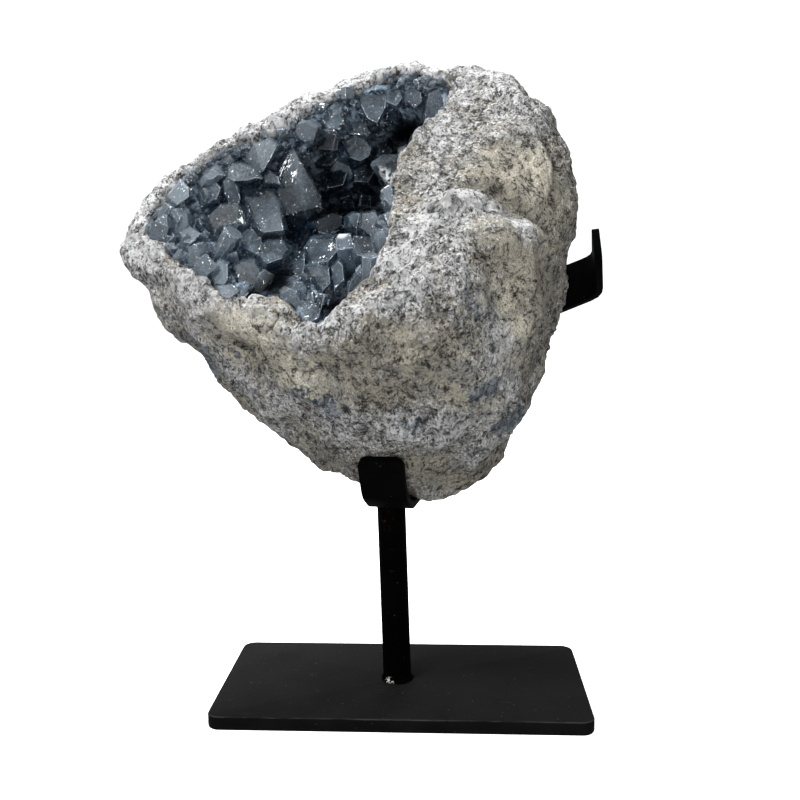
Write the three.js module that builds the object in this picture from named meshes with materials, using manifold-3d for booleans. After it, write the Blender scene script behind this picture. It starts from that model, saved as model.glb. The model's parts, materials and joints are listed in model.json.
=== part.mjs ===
// A celestite geode resting in a black steel display stand. Millimetres, +Z up, the viewer looks along +Y.
// The origin is the middle of the base plate's underside.
import * as THREE from "three";
import { ConvexGeometry } from "three/addons/geometries/ConvexGeometry.js";
import { SimplexNoise } from "three/addons/math/SimplexNoise.js";
import { mergeVertices } from "three/addons/utils/BufferGeometryUtils.js";
import Module from "manifold-3d";

const wasm = await Module();
wasm.setup();

// Base plate
const plateWidth = 160;
const plateDepth = 80;
const plateThick = 6;
const plateCorner = 5;
const plateBevel = 0.6;

// Post, a round rod that leans a little to the left, with its welds
const postRadius = 6;
const postSides = 20;
const postFoot = new THREE.Vector3(-2.6, 0, plateThick);
const postTop = new THREE.Vector3(-4.6, 0, 86.6);
const weldReach = 2.2;
const weldHeight = 2.4;
const weldGap = 0.3;

// Flat bar of the cradle, turned a little about the post
const cradleTurn = THREE.MathUtils.degToRad(-9);
const cradleFoot = new THREE.Vector3(-2, 0, 0);
const barThick = 3.4;
const barWidth = 19;
const barCorner = 3;
// the bar's middle line from its top behind the stone to its front tab, as [back from the post, height]
const strapLine = [
  [87.6, 167],
  [78.4, 147],
  [13, 88.6],
  [-12, 88.6],
  [-24.4, 95.6],
  [-31.8, 112.5],
];
const bendSteps = 3;
const strapBendReach = 4;
// a bar's free end: distance from the end, in corner radii, and share of the full width there
const roundEnd = [
  [1, 1],
  [0.3, 0.9],
  [0, 0.7],
];

// Back arms in the cradle's own frame, as aside, back and up: where the two meet behind the strap,
// where the right one bends forward, and the tip of its ear
const armRoot = new THREE.Vector3(-1.5, 90.7, 150.4);
const armBend = new THREE.Vector3(84, 59.5, 184.6);
const armEarTip = new THREE.Vector3(83.5, 32, 199.5);
const leftEarShare = 0.6; // the left ear is shorter: the back of the stone reaches it
const armDown = new THREE.Vector3(0.12, -0.42, -0.9);
const armThick = 3.2;
const armBendReach = 6;
const armWidth = { root: 24, bend: 21, tip: 15 };

// Stone: hand-picked places on its skin, each [x, y, z], seen from the front and then guessed behind
const stoneCentre = new THREE.Vector3(-12, 6, 182);
const outlinePlaces = [
  [-125, 8, 197], [-127, 11, 187], [-115, 8, 173], [-99, 6, 159], [-83, 4, 143], [-67, 2, 124],
  [-48, 0, 110], [-26, -3, 98], [18, 0, 86], [29, 2, 91], [43, 5, 103], [49, 6, 119],
  [57, 8, 131], [63, 9, 146], [66, 10, 162], [72, 12, 182], [75, 12, 199], [77, 12, 213],
  [76, 12, 221], [72, 10, 238], [67, 8, 252], [52, 10, 268],
];
const rimPlaces = [
  [-126, 8, 208], [-114, 21, 227], [-97, 28, 242], [-71, 35, 256], [-54, 40, 267], [-39, 40, 273],
  [-19, 40, 280], [-1, 36, 281], [17, 30, 280], [38, 21, 276], [-94, -14, 188], [-64, -36, 172],
  [-41, -46, 168],
];
const frontPlaces = [
  [-27, -56, 161], [-1, -59, 177], [20, -63, 182], [27, -46, 209], [50, -38, 200], [31, -52, 146],
  [-4, -50, 138], [-38, -39, 140], [-65, -23, 155], [14, -28, 110], [-8, -16, 97], [51, -34, 164],
  [44, -6, 242], [64, -8, 224], [60, -22, 198], [46, -22, 126],
];
const backPlaces = [
  [-98, 34, 198], [-74, 54, 194], [-72, 47, 228], [-50, 60, 244], [-22, 68, 240], [12, 77, 200],
  [14, 78, 172], [40, 69, 186], [54, 61, 172], [67, 49, 190], [62, 44, 222], [40, 52, 254],
  [14, 54, 268], [-20, 56, 268], [-12, 77, 178], [-33, 74, 170], [-56, 60, 168], [-76, 44, 168],
  [16, 64, 142], [-8, 60, 140], [4, 34, 113], [-26, 28, 116], [34, 34, 112], [48, 40, 140],
  [-52, 24, 130], [-80, 24, 160],
];
const stoneFineness = 12;
const stoneSmoothing = 1;

// Swells and hollows of the skin, each from one place to another, with its reach and its rise
const skinForms = [
  { name: "bright lobe under the crease", from: [33, -50, 200], to: [52, -36, 176], reach: 11, rise: 3.5 },
  { name: "crease above the lobe", from: [16, -50, 204], to: [58, -28, 212], reach: 7, rise: -4.5 },
  { name: "ridge between front and right", from: [50, -38, 176], to: [58, -26, 138], reach: 9, rise: 2.5 },
  { name: "hollow right of the ridge", from: [66, -6, 180], to: [62, -6, 140], reach: 9, rise: -3 },
  { name: "shoulder on the right", from: [66, -6, 232], to: [58, -4, 252], reach: 16, rise: 3 },
  { name: "dip in the upper right wall", from: [30, -22, 226], to: [42, -8, 246], reach: 12, rise: -4 },
  { name: "hollow under the mouth's tip", from: [-44, -46, 156], to: [-24, -54, 150], reach: 11, rise: -3 },
  { name: "knob of the left tip", from: [-120, 8, 198], to: [-116, 4, 194], reach: 9, rise: 4 },
  { name: "notch under the left tip", from: [-112, 0, 180], to: [-116, 14, 178], reach: 7, rise: -4 },
  { name: "broken step at the lower right", from: [52, -10, 112], to: [56, 6, 124], reach: 8, rise: -3.5 },
  { name: "lump low in front", from: [14, -40, 122], to: [30, -34, 118], reach: 12, rise: 3 },
  { name: "hollow low on the left", from: [-60, -24, 140], to: [-40, -26, 122], reach: 12, rise: -3 },
  { name: "ledge across the back", from: [-60, 58, 200], to: [40, 64, 216], reach: 10, rise: 3 },
  { name: "hollow in the back", from: [-20, 68, 196], to: [20, 72, 184], reach: 14, rise: -4 },
];
const broadNoise = { size: 34, rise: 2.6 };
const lumpNoise = { size: 15, rise: 1.5 };

// Mouth of the hollow: its middle, the way it faces, and its outline as [right, up] in its own plane
const mouthMiddle = new THREE.Vector3(-37.6, -4.8, 218);
const mouthFacing = new THREE.Vector3(-0.2205, -0.7517, 0.6214).normalize();
const mouthOutline = [
  [-72, -14], [-65, 10], [-49, 28], [-32, 36], [-13, 51], [4, 63], [26, 69], [42, 66],
  [51, 58], [51, 44], [42, 28], [36, 5], [40, -12], [42, -34], [33, -51], [18, -69],
  [6, -53], [-18, -53], [-38, -41], [-60, -27],
];
const mouthSteps = 28;
// Sections of the hollow, by depth under the mouth: size, and shift right and up
const hollowSections = [
  { depth: -18, size: 1.14, right: 0, up: 0 },
  { depth: 0, size: 1, right: 0, up: 0 },
  { depth: 13, size: 0.97, right: 2, up: 2 },
  { depth: 27, size: 0.82, right: 7, up: 6 },
  { depth: 40, size: 0.6, right: 12, up: 11 },
  { depth: 50, size: 0.32, right: 14, up: 14 },
  { depth: 54, size: 0.12, right: 15, up: 15 },
];
const hollowCentre = { right: 0, up: 4 };
const crustGap = 0.4;
const crustTop = { depth: 3, size: 0.992, right: 0.5, up: 0.5 };
const openInset = 1.4;
const openRoughness = 1.8;
const stirSize = 9;
// Sections of the open space inside the crust: its floor climbs to the rim on the left and below
const openSections = [
  { depth: -10, size: 1.06, right: 0, up: 0 },
  { depth: 2, size: 0.95, right: 0, up: 0 },
  { depth: 8, size: 0.8, right: 5, up: 5 },
  { depth: 20, size: 0.62, right: 9, up: 12 },
  { depth: 32, size: 0.42, right: 12, up: 18 },
  { depth: 42, size: 0.22, right: 12, up: 21 },
  { depth: 45, size: 0.08, right: 12, up: 22 },
];
// the small crystals point here, this far above their own depth
const openHeart = { right: 12, up: 22, out: 20 };

// Large crystals of the crust. The photograph was taken from seenFrom, and each outline is what it
// shows, as [right, up] in a plane parallel to the mouth at seenLevel. out is the level of the
// crystal's widest edge, rise the height of its top over that, top the share of the outline that the
// top keeps or the top's own corners, and slope the top's tilt to the right and up
const seenFrom = new THREE.Vector3(20.2, -401.9, 186);
const seenLevel = -5;
const largeCrystals = [
  // big clear
  {
    outline: [[-20, 36], [-14, 31], [2, 5], [3, 0], [-1, -6], [-12, -4], [-19, 5], [-22, 18], [-23, 28]],
    out: -6, rise: 5, top: [[-17, 32], [-3, -2]], slope: [0, 0],
  },
  // blocky
  {
    outline: [[-37, 12], [-28, 13], [-20, 11], [-8, -13], [-9, -17], [-19, -16], [-28, -9], [-34, 2]],
    out: -6, rise: 3.2, top: [[-27, 9], [-21, 10], [-10, -13], [-19, -14], [-25, -6]], slope: [0, 0],
  },
  // flat upper
  {
    outline: [[-39, 40], [-32, 43], [-25, 37], [-26, 30], [-30, 21], [-40, 27], [-41, 32]],
    out: -4, rise: 2.6, top: 0.86, slope: [0, 0.2],
  },
  // greenish
  {
    outline: [[-50, 25], [-48, 29], [-43, 29], [-33, 24], [-29, 17], [-34, 15], [-43, 15], [-48, 18]],
    out: -7, rise: 2.6, top: 0.74, slope: [0, 0],
  },
  {
    outline: [[-32, 21], [-28, 23], [-20, 17], [-17, 11], [-28, 13]],
    out: -8, rise: 2.6, top: 0.62, slope: [0.1, 0],
  },
  // small cube
  {
    outline: [[-71, 19], [-64, 13], [-62, 8], [-67, 3], [-74, 9], [-73, 12]],
    out: -1, rise: 2, top: 0.88, slope: [0.2, 0.1],
  },
  // peaked
  {
    outline: [[-61, 17], [-60, 23], [-58, 29], [-52, 25], [-48, 20], [-52, 15], [-58, 14]],
    out: -4, rise: 3.2, top: 0.4, slope: [0, 0],
  },
  {
    outline: [[-59, 9], [-59, 16], [-52, 18], [-46, 12], [-46, 4], [-54, 2]],
    out: -7, rise: 2.6, top: 0.74, slope: [0.2, 0],
  },
  {
    outline: [[-50, 19], [-45, 22], [-39, 14], [-36, 5], [-41, 2], [-46, 10]],
    out: -8, rise: 2.6, top: 0.74, slope: [-0.1, 0.2],
  },
  // pale cube
  {
    outline: [[-61, -13], [-57, -9], [-49, -14], [-52, -20], [-56, -19]],
    out: -4, rise: 2.6, top: 0.88, slope: [0, 0],
  },
  // olive
  {
    outline: [[-51, -3], [-46, 4], [-36, 5], [-28, -9], [-29, -18], [-39, -19], [-48, -12]],
    out: -8, rise: 3, top: 0.84, slope: [-0.1, 0.1],
  },
  // hexagon, left
  {
    outline: [[-30, -18], [-26, -11], [-19, -16], [-16, -26], [-19, -28], [-26, -24]],
    out: -7, rise: 2.6, top: 0.8, slope: [0, 0.1],
  },
  // right
  {
    outline: [[-19, -20], [-16, -17], [-8, -17], [-3, -24], [-5, -30], [-12, -33], [-18, -28]],
    out: -7, rise: 3.2, top: 0.8, slope: [0, 0],
  },
  {
    outline: [[-29, -30], [-26, -27], [-19, -27], [-13, -34], [-12, -41], [-17, -45], [-22, -43], [-27, -37]],
    out: -10, rise: 2.6, top: 0.8, slope: [0, 0],
  },
  {
    outline: [[-38, -34], [-35, -28], [-30, -30], [-27, -39], [-28, -42], [-33, -41]],
    out: -6, rise: 2.6, top: 0.86, slope: [0, 0.1],
  },
  {
    outline: [[-54, -21], [-48, -18], [-42, -24], [-42, -30], [-49, -28]],
    out: -6, rise: 2.6, top: 0.8, slope: [0, 0],
  },
  {
    outline: [[-33, -42], [-25, -41], [-20, -45], [-23, -49], [-28, -49]],
    out: -5, rise: 2.6, top: 0.8, slope: [0, 0],
  },
  {
    outline: [[-4, -44], [-2, -42], [1, -42], [3, -46], [1, -49], [-2, -48]],
    out: -4, rise: 1.6, top: 0.8, slope: [0, 0],
  },
  {
    outline: [[-2, -30], [0, -25], [3, -24], [5, -30], [6, -37], [3, -39], [0, -36]],
    out: -9, rise: 2.6, top: 0.74, slope: [0.1, 0],
  },
  // round cluster
  {
    outline: [[2, -24], [4, -17], [14, -17], [18, -25], [15, -31], [7, -32]],
    out: -8, rise: 3, top: 0.8, slope: [0, 0],
  },
  {
    outline: [[5, -32], [10, -30], [16, -33], [19, -42], [16, -45], [8, -40]],
    out: -7, rise: 3, top: 0.8, slope: [0, 0.1],
  },
  {
    outline: [[16, -32], [19, -28], [22, -31], [25, -40], [21, -44], [18, -38]],
    out: -8, rise: 2.6, top: 0.76, slope: [0.2, 0],
  },
  // bright facet
  {
    outline: [[15, -19], [16, -16], [21, -16], [24, -23], [17, -24]],
    out: -4, rise: 1.6, top: 0.9, slope: [0, 0.1],
  },
  {
    outline: [[16, -7], [19, -4], [23, -5], [24, -17], [18, -12]],
    out: -9, rise: 2.6, top: 0.62, slope: [0, 0],
  },
  {
    outline: [[23, -5], [29, -4], [34, -10], [36, -18], [30, -19], [24, -14]],
    out: -7, rise: 2.6, top: 0.82, slope: [0.1, 0],
  },
  {
    outline: [[23, -17], [31, -20], [37, -19], [37, -26], [32, -30], [26, -29], [23, -24]],
    out: -5, rise: 2, top: 0.8, slope: [0, 0],
  },
  // brownish, low
  {
    outline: [[0, -9], [9, -4], [15, -6], [17, -12], [12, -17], [5, -16]],
    out: -13, rise: 2.6, top: 0.8, slope: [0, 0],
  },
  {
    outline: [[26, -48], [26, -40], [28, -35], [30, -31], [33, -37], [32, -45], [29, -49]],
    out: -7, rise: 2.6, top: 0.62, slope: [-0.2, 0],
  },
  // in the tip
  {
    outline: [[8, -51], [11, -49], [15, -51], [19, -55], [19, -59], [15, -62], [11, -61], [9, -57]],
    out: -4, rise: 2.6, top: 0.8, slope: [0, 0],
  },
  // upper wall
  {
    outline: [[-10, 53], [-9, 59], [-1, 61], [3, 51], [1, 45], [-4, 45]],
    out: -8, rise: 2.6, top: 0.86, slope: [0, 0],
  },
  {
    outline: [[3, 44], [7, 50], [13, 48], [18, 40], [16, 38], [9, 40], [5, 40]],
    out: -13, rise: 2.6, top: 0.74, slope: [0, 0],
  },
  {
    outline: [[3, 38], [9, 42], [15, 39], [20, 33], [20, 27], [16, 24], [10, 27], [7, 32]],
    out: -14, rise: 3.2, top: 0.84, slope: [0, 0.1],
  },
  {
    outline: [[4, 71], [11, 73], [19, 68], [21, 57], [19, 46], [13, 50], [7, 60]],
    out: -10, rise: 2.6, top: 0.86, slope: [0, 0],
  },
  {
    outline: [[17, 69], [24, 71], [28, 61], [26, 55], [20, 59]],
    out: -7, rise: 2.6, top: 0.8, slope: [0, 0],
  },
  {
    outline: [[26, 67], [29, 70], [35, 66], [37, 58], [34, 54], [29, 59]],
    out: -7, rise: 2.6, top: 0.8, slope: [0, 0],
  },
  {
    outline: [[38, 65], [43, 68], [48, 62], [48, 52], [43, 41], [39, 48], [39, 57]],
    out: -7, rise: 2.6, top: 0.74, slope: [-0.2, 0],
  },
  {
    outline: [[-22, 48], [-21, 55], [-15, 57], [-10, 53], [-9, 45], [-15, 42]],
    out: -6, rise: 2.6, top: 0.8, slope: [0, 0],
  },
  {
    outline: [[-8, 43], [-2, 45], [2, 42], [1, 36], [-3, 36]],
    out: -14, rise: 2.6, top: 0.74, slope: [0, 0],
  },
  // white facet on the lip
  {
    outline: [[29, 7], [32, 10], [37, 4], [35, -2], [31, 2]],
    out: -2, rise: 1.6, top: 0.86, slope: [-0.1, 0],
  },
  {
    outline: [[33, -6], [36, -4], [40, -6], [38, -10], [35, -10]],
    out: -2, rise: 1.6, top: 0.8, slope: [0, 0],
  },
  { outline: [[31, 18], [34, 24], [38, 16], [34, 10]], out: -3, rise: 1.6, top: 0.74, slope: [0, 0] },
  { outline: [[31, 31], [35, 33], [37, 26], [34, 23]], out: -3, rise: 1.6, top: 0.74, slope: [0, 0] },
];
const smallCrystalCount = 20;
const smallCrystalSize = [8, 13];
const smallCrystalRoot = 3;
const deepestLevel = 4.8;
const crystalRoot = 4;
const rootShare = 0.82;
const deepestRoot = 60;
// Cross-section of a small crystal, and its flat top, as shares of its half sizes
const fourSided = [[1, 0.75], [-0.8, 1], [-1, -0.75], [0.8, -1]];
const crystalTop = [[0.5, 0.5], [-0.5, 0.5], [-0.5, -0.5], [0.5, -0.5]];

// Finishes
const blackPaint = { color: 0x1b1b1c, roughness: 0.55, metalness: 0.1 };
const rock = { color: 0x9c968a, roughness: 0.95, metalness: 0 };
const celestite = { color: 0x93a6ba, roughness: 0.15, metalness: 0 };

// A repeatable source of numbers between 0 and 1
function seededRandom(seed) {
  let state = seed;
  return () => {
    state = (state + 0x6d2b79f5) | 0;
    let t = Math.imul(state ^ (state >>> 15), 1 | state);
    t = (t + Math.imul(t ^ (t >>> 7), 61 | t)) ^ t;
    return ((t ^ (t >>> 14)) >>> 0) / 4294967296;
  };
}

const vector = (place) => new THREE.Vector3(...place);

// A geometry with shared vertices, holding only positions
function welded(geometry) {
  const bare = geometry.clone();
  bare.deleteAttribute("normal");
  bare.deleteAttribute("uv");
  return mergeVertices(bare, 1e-4);
}

function solidOf(geometry) {
  const shape = welded(geometry);
  return new wasm.Manifold(
    new wasm.Mesh({
      numProp: 3,
      vertProperties: shape.attributes.position.array,
      triVerts: new Uint32Array(shape.index.array),
    }),
  );
}

function geometryOf(solid) {
  const { numProp, vertProperties, triVerts } = solid.getMesh();
  const geometry = new THREE.BufferGeometry();
  const places = [];
  for (let i = 0; i < vertProperties.length; i += numProp) {
    places.push(...vertProperties.slice(i, i + 3));
  }
  geometry.setAttribute("position", new THREE.Float32BufferAttribute(places, 3));
  geometry.setIndex([...triVerts]);
  geometry.computeVertexNormals();
  return geometry;
}

function namedMesh(name, geometry, finish) {
  const mesh = new THREE.Mesh(geometry, new THREE.MeshStandardMaterial(finish));
  mesh.name = name;
  return mesh;
}

// Stand

function roundedRectangle(width, height, corner) {
  const shape = new THREE.Shape();
  const right = width / 2 - corner;
  const top = height / 2 - corner;
  shape.absarc(right, top, corner, 0, Math.PI / 2);
  shape.absarc(-right, top, corner, Math.PI / 2, Math.PI);
  shape.absarc(-right, -top, corner, Math.PI, 1.5 * Math.PI);
  shape.absarc(right, -top, corner, 1.5 * Math.PI, 2 * Math.PI);
  shape.closePath();
  return shape;
}

function basePlate() {
  const outline = roundedRectangle(plateWidth - 2 * plateBevel, plateDepth - 2 * plateBevel, plateCorner);
  const plate = new THREE.ExtrudeGeometry(outline, {
    depth: plateThick - 2 * plateBevel,
    bevelThickness: plateBevel,
    bevelSize: plateBevel,
    bevelSegments: 1,
    curveSegments: 3,
  });
  return namedMesh("base_plate", plate.translate(0, 0, plateBevel), blackPaint);
}

// The rod with a fillet of weld at its foot and a bead of weld under the strap, turned as one profile
function post() {
  const length = postTop.z - postFoot.z - 2 * weldGap;
  const profile = [
    [0, 0],
    [postRadius + weldReach, 0],
    [postRadius + weldReach * 0.35, weldHeight * 0.4],
    [postRadius, weldHeight],
    [postRadius, length - weldHeight],
    [postRadius + weldReach * 0.5, length - weldHeight * 0.6],
    [postRadius + weldReach * 0.5, length],
    [0, length],
  ].map(([radius, height]) => new THREE.Vector2(radius, height));
  const rod = new THREE.LatheGeometry(profile, postSides);
  rod.rotateX(Math.PI / 2);
  const lean = (postTop.x - postFoot.x) / (postTop.z - postFoot.z);
  const shear = new THREE.Matrix4().set(1, 0, lean, 0, 0, 1, 0, 0, 0, 0, 1, 0, 0, 0, 0, 1);
  rod.applyMatrix4(shear);
  rod.translate(postFoot.x, postFoot.y, postFoot.z + weldGap);
  return namedMesh("post", rod, blackPaint);
}

// A line of straight stretches with its corners rounded into short arcs
function bentLine(corners, reach) {
  const line = [corners[0]];
  for (let i = 1; i < corners.length - 1; i++) {
    const [before, after] = [corners[i - 1], corners[i + 1]].map((other) =>
      corners[i].clone().lerp(other, reach / corners[i].distanceTo(other)),
    );
    line.push(...new THREE.QuadraticBezierCurve3(before, corners[i], after).getPoints(bendSteps));
  }
  line.push(corners[corners.length - 1]);
  return line;
}

// A closed solid through matching rings of points
function loft(rings) {
  const count = rings[0].length;
  const places = rings.flat().flatMap((point) => point.toArray());
  const faces = [];
  for (let r = 0; r + 1 < rings.length; r++) {
    for (let i = 0; i < count; i++) {
      const a = r * count + i;
      const b = r * count + ((i + 1) % count);
      faces.push(a, b, b + count, a, b + count, a + count);
    }
  }
  rings.forEach((ring, r) => {
    if (r > 0 && r + 1 < rings.length) return;
    const middle = ring.reduce((sum, point) => sum.add(point), new THREE.Vector3()).divideScalar(count);
    places.push(...middle.toArray());
    const tip = places.length / 3 - 1;
    for (let i = 0; i < count; i++) {
      const a = r * count + i;
      const b = r * count + ((i + 1) % count);
      faces.push(...(r === 0 ? [b, a, tip] : [a, b, tip]));
    }
  });
  const geometry = new THREE.BufferGeometry();
  geometry.setAttribute("position", new THREE.Float32BufferAttribute(places, 3));
  geometry.setIndex(faces);
  return geometry;
}

// A flat bar along a line: across is the way its width lies, widthAt gives the width at a place.
// The far end has rounded corners.
function flatBar(line, across, widthAt, thick) {
  const tip = line[line.length - 1];
  const back = line[line.length - 2].clone().sub(tip).normalize();
  const stations = line.slice(0, -1).map((at) => ({ at, narrow: 1 }));
  for (const [share, narrow] of roundEnd) {
    stations.push({ at: tip.clone().addScaledVector(back, share * barCorner), narrow });
  }
  const rings = stations.map(({ at, narrow }, i) => {
    const before = stations[Math.max(0, i - 1)].at;
    const after = stations[Math.min(stations.length - 1, i + 1)].at;
    const along = after.clone().sub(before).normalize();
    const halfWidth = (widthAt(at) * narrow) / 2;
    const aside = across.clone().addScaledVector(along, -across.dot(along)).setLength(halfWidth);
    const through = new THREE.Vector3().crossVectors(aside, along).setLength(thick / 2);
    const corner = (side, face) => at.clone().addScaledVector(aside, side).addScaledVector(through, face);
    return [corner(-1, 1), corner(1, 1), corner(1, -1), corner(-1, -1)];
  });
  return loft(rings);
}

// From the cradle's own frame to its turned place over the post
function placedInCradle(geometry) {
  geometry.rotateZ(cradleTurn);
  return geometry.translate(cradleFoot.x, cradleFoot.y, cradleFoot.z);
}

function cradleStrap() {
  const corners = strapLine.map(([back, up]) => new THREE.Vector3(0, back, up));
  const line = bentLine(corners, strapBendReach);
  return placedInCradle(flatBar(line, new THREE.Vector3(1, 0, 0), () => barWidth, barThick));
}

// One back arm with its ear; side is 1 for the right and -1 for the left
function backArm(side, earShare) {
  const sided = ({ x, y, z }) => new THREE.Vector3(side * x, y, z);
  const [root, bend, ear, down] = [armRoot, armBend, armEarTip, armDown].map(sided);
  const tip = bend.clone().lerp(ear, earShare);
  const rootReach = root.distanceTo(bend);
  const tipReach = tip.distanceTo(bend);
  const widthAt = (place) => {
    const fromBend = place.distanceTo(bend);
    return place.distanceTo(root) < rootReach
      ? THREE.MathUtils.lerp(armWidth.bend, armWidth.root, fromBend / rootReach)
      : THREE.MathUtils.lerp(armWidth.bend, armWidth.tip, fromBend / tipReach);
  };
  return placedInCradle(flatBar(bentLine([root, bend, tip], armBendReach), down, widthAt, armThick));
}

// Stone

// The flat faces of the hull of the places: each a facing and its distance from the stone's centre
function hullFaces(places) {
  const hull = new ConvexGeometry(places.map(vector));
  const position = hull.attributes.position;
  const faces = [];
  const [a, b, c] = [new THREE.Vector3(), new THREE.Vector3(), new THREE.Vector3()];
  for (let i = 0; i < position.count; i += 3) {
    [a, b, c].forEach((corner, k) => corner.fromBufferAttribute(position, i + k));
    const plane = new THREE.Plane().setFromCoplanarPoints(a, b, c);
    faces.push({ facing: plane.normal, distance: -plane.distanceToPoint(stoneCentre) });
  }
  return faces;
}

function hullRadius(faces, way) {
  let radius = Infinity;
  for (const { facing, distance } of faces) {
    const lean = facing.dot(way);
    if (lean > 1e-6) radius = Math.min(radius, distance / lean);
  }
  return radius;
}

// Evens out the radii over neighbouring vertices, which rounds the hull's edges like weathered rock
function smoothedRadii(radii, index, passes) {
  const neighbours = radii.map(() => new Set());
  for (let i = 0; i < index.length; i += 3) {
    const [a, b, c] = [index[i], index[i + 1], index[i + 2]];
    neighbours[a].add(b).add(c);
    neighbours[b].add(a).add(c);
    neighbours[c].add(a).add(b);
  }
  let smooth = radii;
  for (let pass = 0; pass < passes; pass++) {
    smooth = smooth.map((radius, i) => {
      const around = [...neighbours[i]];
      const mean = around.reduce((sum, k) => sum + smooth[k], 0) / around.length;
      return (radius + mean) / 2;
    });
  }
  return smooth;
}

function skinRise(place, noise) {
  let rise = 0;
  for (const form of skinForms) {
    const ridge = new THREE.Line3(vector(form.from), vector(form.to));
    const nearest = ridge.closestPointToPoint(place, true, new THREE.Vector3());
    rise += form.rise * Math.exp(-((nearest.distanceTo(place) / form.reach) ** 2));
  }
  for (const { size, rise: height } of [broadNoise, lumpNoise]) {
    rise += height * noise.noise3d(place.x / size, place.y / size, place.z / size);
  }
  return rise;
}

// The whole stone without its hollow
function stoneBlock() {
  const ball = welded(new THREE.IcosahedronGeometry(1, stoneFineness));
  const position = ball.attributes.position;
  const faces = hullFaces([...outlinePlaces, ...rimPlaces, ...frontPlaces, ...backPlaces]);
  const noise = new SimplexNoise({ random: seededRandom(11) });
  const ways = [];
  for (let i = 0; i < position.count; i++) {
    ways.push(new THREE.Vector3().fromBufferAttribute(position, i).normalize());
  }
  const plainRadii = ways.map((way) => hullRadius(faces, way));
  const radii = smoothedRadii(plainRadii, ball.index.array, stoneSmoothing);
  ways.forEach((way, i) => {
    const place = way.clone().multiplyScalar(radii[i]).add(stoneCentre);
    place.addScaledVector(way, skinRise(place, noise));
    position.setXYZ(i, place.x, place.y, place.z);
  });
  return solidOf(ball);
}

// Hollow

const mouthRight = new THREE.Vector3(0, 0, 1).cross(mouthFacing).normalize();
const mouthUp = new THREE.Vector3().crossVectors(mouthFacing, mouthRight);

// A place given in the mouth's own frame: to the right, up, and out of its plane
function fromMouth(right, up, out) {
  return mouthMiddle
    .clone()
    .addScaledVector(mouthRight, right)
    .addScaledVector(mouthUp, up)
    .addScaledVector(mouthFacing, out);
}

// Where a place of the outline lies on a section of a hollow
function sectionPlace({ depth, size, right, up }, outlineRight, outlineUp) {
  const shiftedRight = hollowCentre.right + (outlineRight - hollowCentre.right) * size + right;
  const shiftedUp = hollowCentre.up + (outlineUp - hollowCentre.up) * size + up;
  return fromMouth(shiftedRight, shiftedUp, -depth);
}

// The mouth's outline moved inwards in its plane
function insetOutline(inset) {
  const corners = mouthOutline.map(([right, up]) => new THREE.Vector3(right, up, 0));
  const curve = new THREE.CatmullRomCurve3(corners, true, "centripetal");
  const ring = [];
  for (let i = 0; i < mouthSteps; i++) {
    const point = curve.getPointAt(i / mouthSteps);
    const tangent = curve.getTangentAt(i / mouthSteps);
    ring.push([point.x + tangent.y * inset, point.y - tangent.x * inset]);
  }
  return ring;
}

// A hollow as a solid through its sections: inset keeps it off the wall, roughness stirs its surface
function hollowSolid(sections, inset, roughness) {
  const outline = insetOutline(inset);
  const noise = new SimplexNoise({ random: seededRandom(5) });
  const rings = sections.map((section) =>
    outline.map(([right, up]) => {
      const place = sectionPlace(section, right, up).addScaledVector(mouthFacing, inset);
      const stir = roughness * noise.noise3d(place.x / stirSize, place.y / stirSize, place.z / stirSize);
      return place.addScaledVector(mouthRight, stir).addScaledVector(mouthUp, stir);
    }),
  );
  return solidOf(loft(rings));
}

// Crystals

// A place of an outline at a level out of the mouth, kept on its line to where the photo was taken from
function seenPlace([right, up], out) {
  const place = fromMouth(right, up, seenLevel);
  const toEye = seenFrom.clone().sub(place);
  return place.addScaledVector(toEye, (out - seenLevel) / toEye.dot(mouthFacing));
}

// The section of the open space at a depth, or nothing under its floor
function openSectionAt(depth) {
  const next = openSections.findIndex((section) => section.depth > depth);
  if (next < 1) return null;
  const [upper, lower] = [openSections[next - 1], openSections[next]];
  const share = (depth - upper.depth) / (lower.depth - upper.depth);
  const mix = (key) => THREE.MathUtils.lerp(upper[key], lower[key], share);
  return { depth, size: mix("size"), right: mix("right"), up: mix("up") };
}

// Whether a place lies in the open space of the hollow
function inOpenSpace(place) {
  const away = place.clone().sub(mouthMiddle);
  const section = openSectionAt(-away.dot(mouthFacing));
  if (!section) return false;
  const back = (value, shift, centre) => centre + (value - shift - centre) / section.size;
  const right = back(away.dot(mouthRight), section.right, hollowCentre.right);
  const up = back(away.dot(mouthUp), section.up, hollowCentre.up);
  return mouthOutline.reduce((inside, [ax, ay], i) => {
    const [bx, by] = mouthOutline[(i + 1) % mouthOutline.length];
    const crosses = ay > up !== by > up && right < ((bx - ax) * (up - ay)) / (by - ay) + ax;
    return crosses ? !inside : inside;
  }, false);
}

// The way from a place to the heart of the hollow, a little above the place's own depth
function wayToHeart(place) {
  const depth = -place.clone().sub(mouthMiddle).dot(mouthFacing);
  return fromMouth(openHeart.right, openHeart.up, openHeart.out - depth).sub(place).normalize();
}

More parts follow.
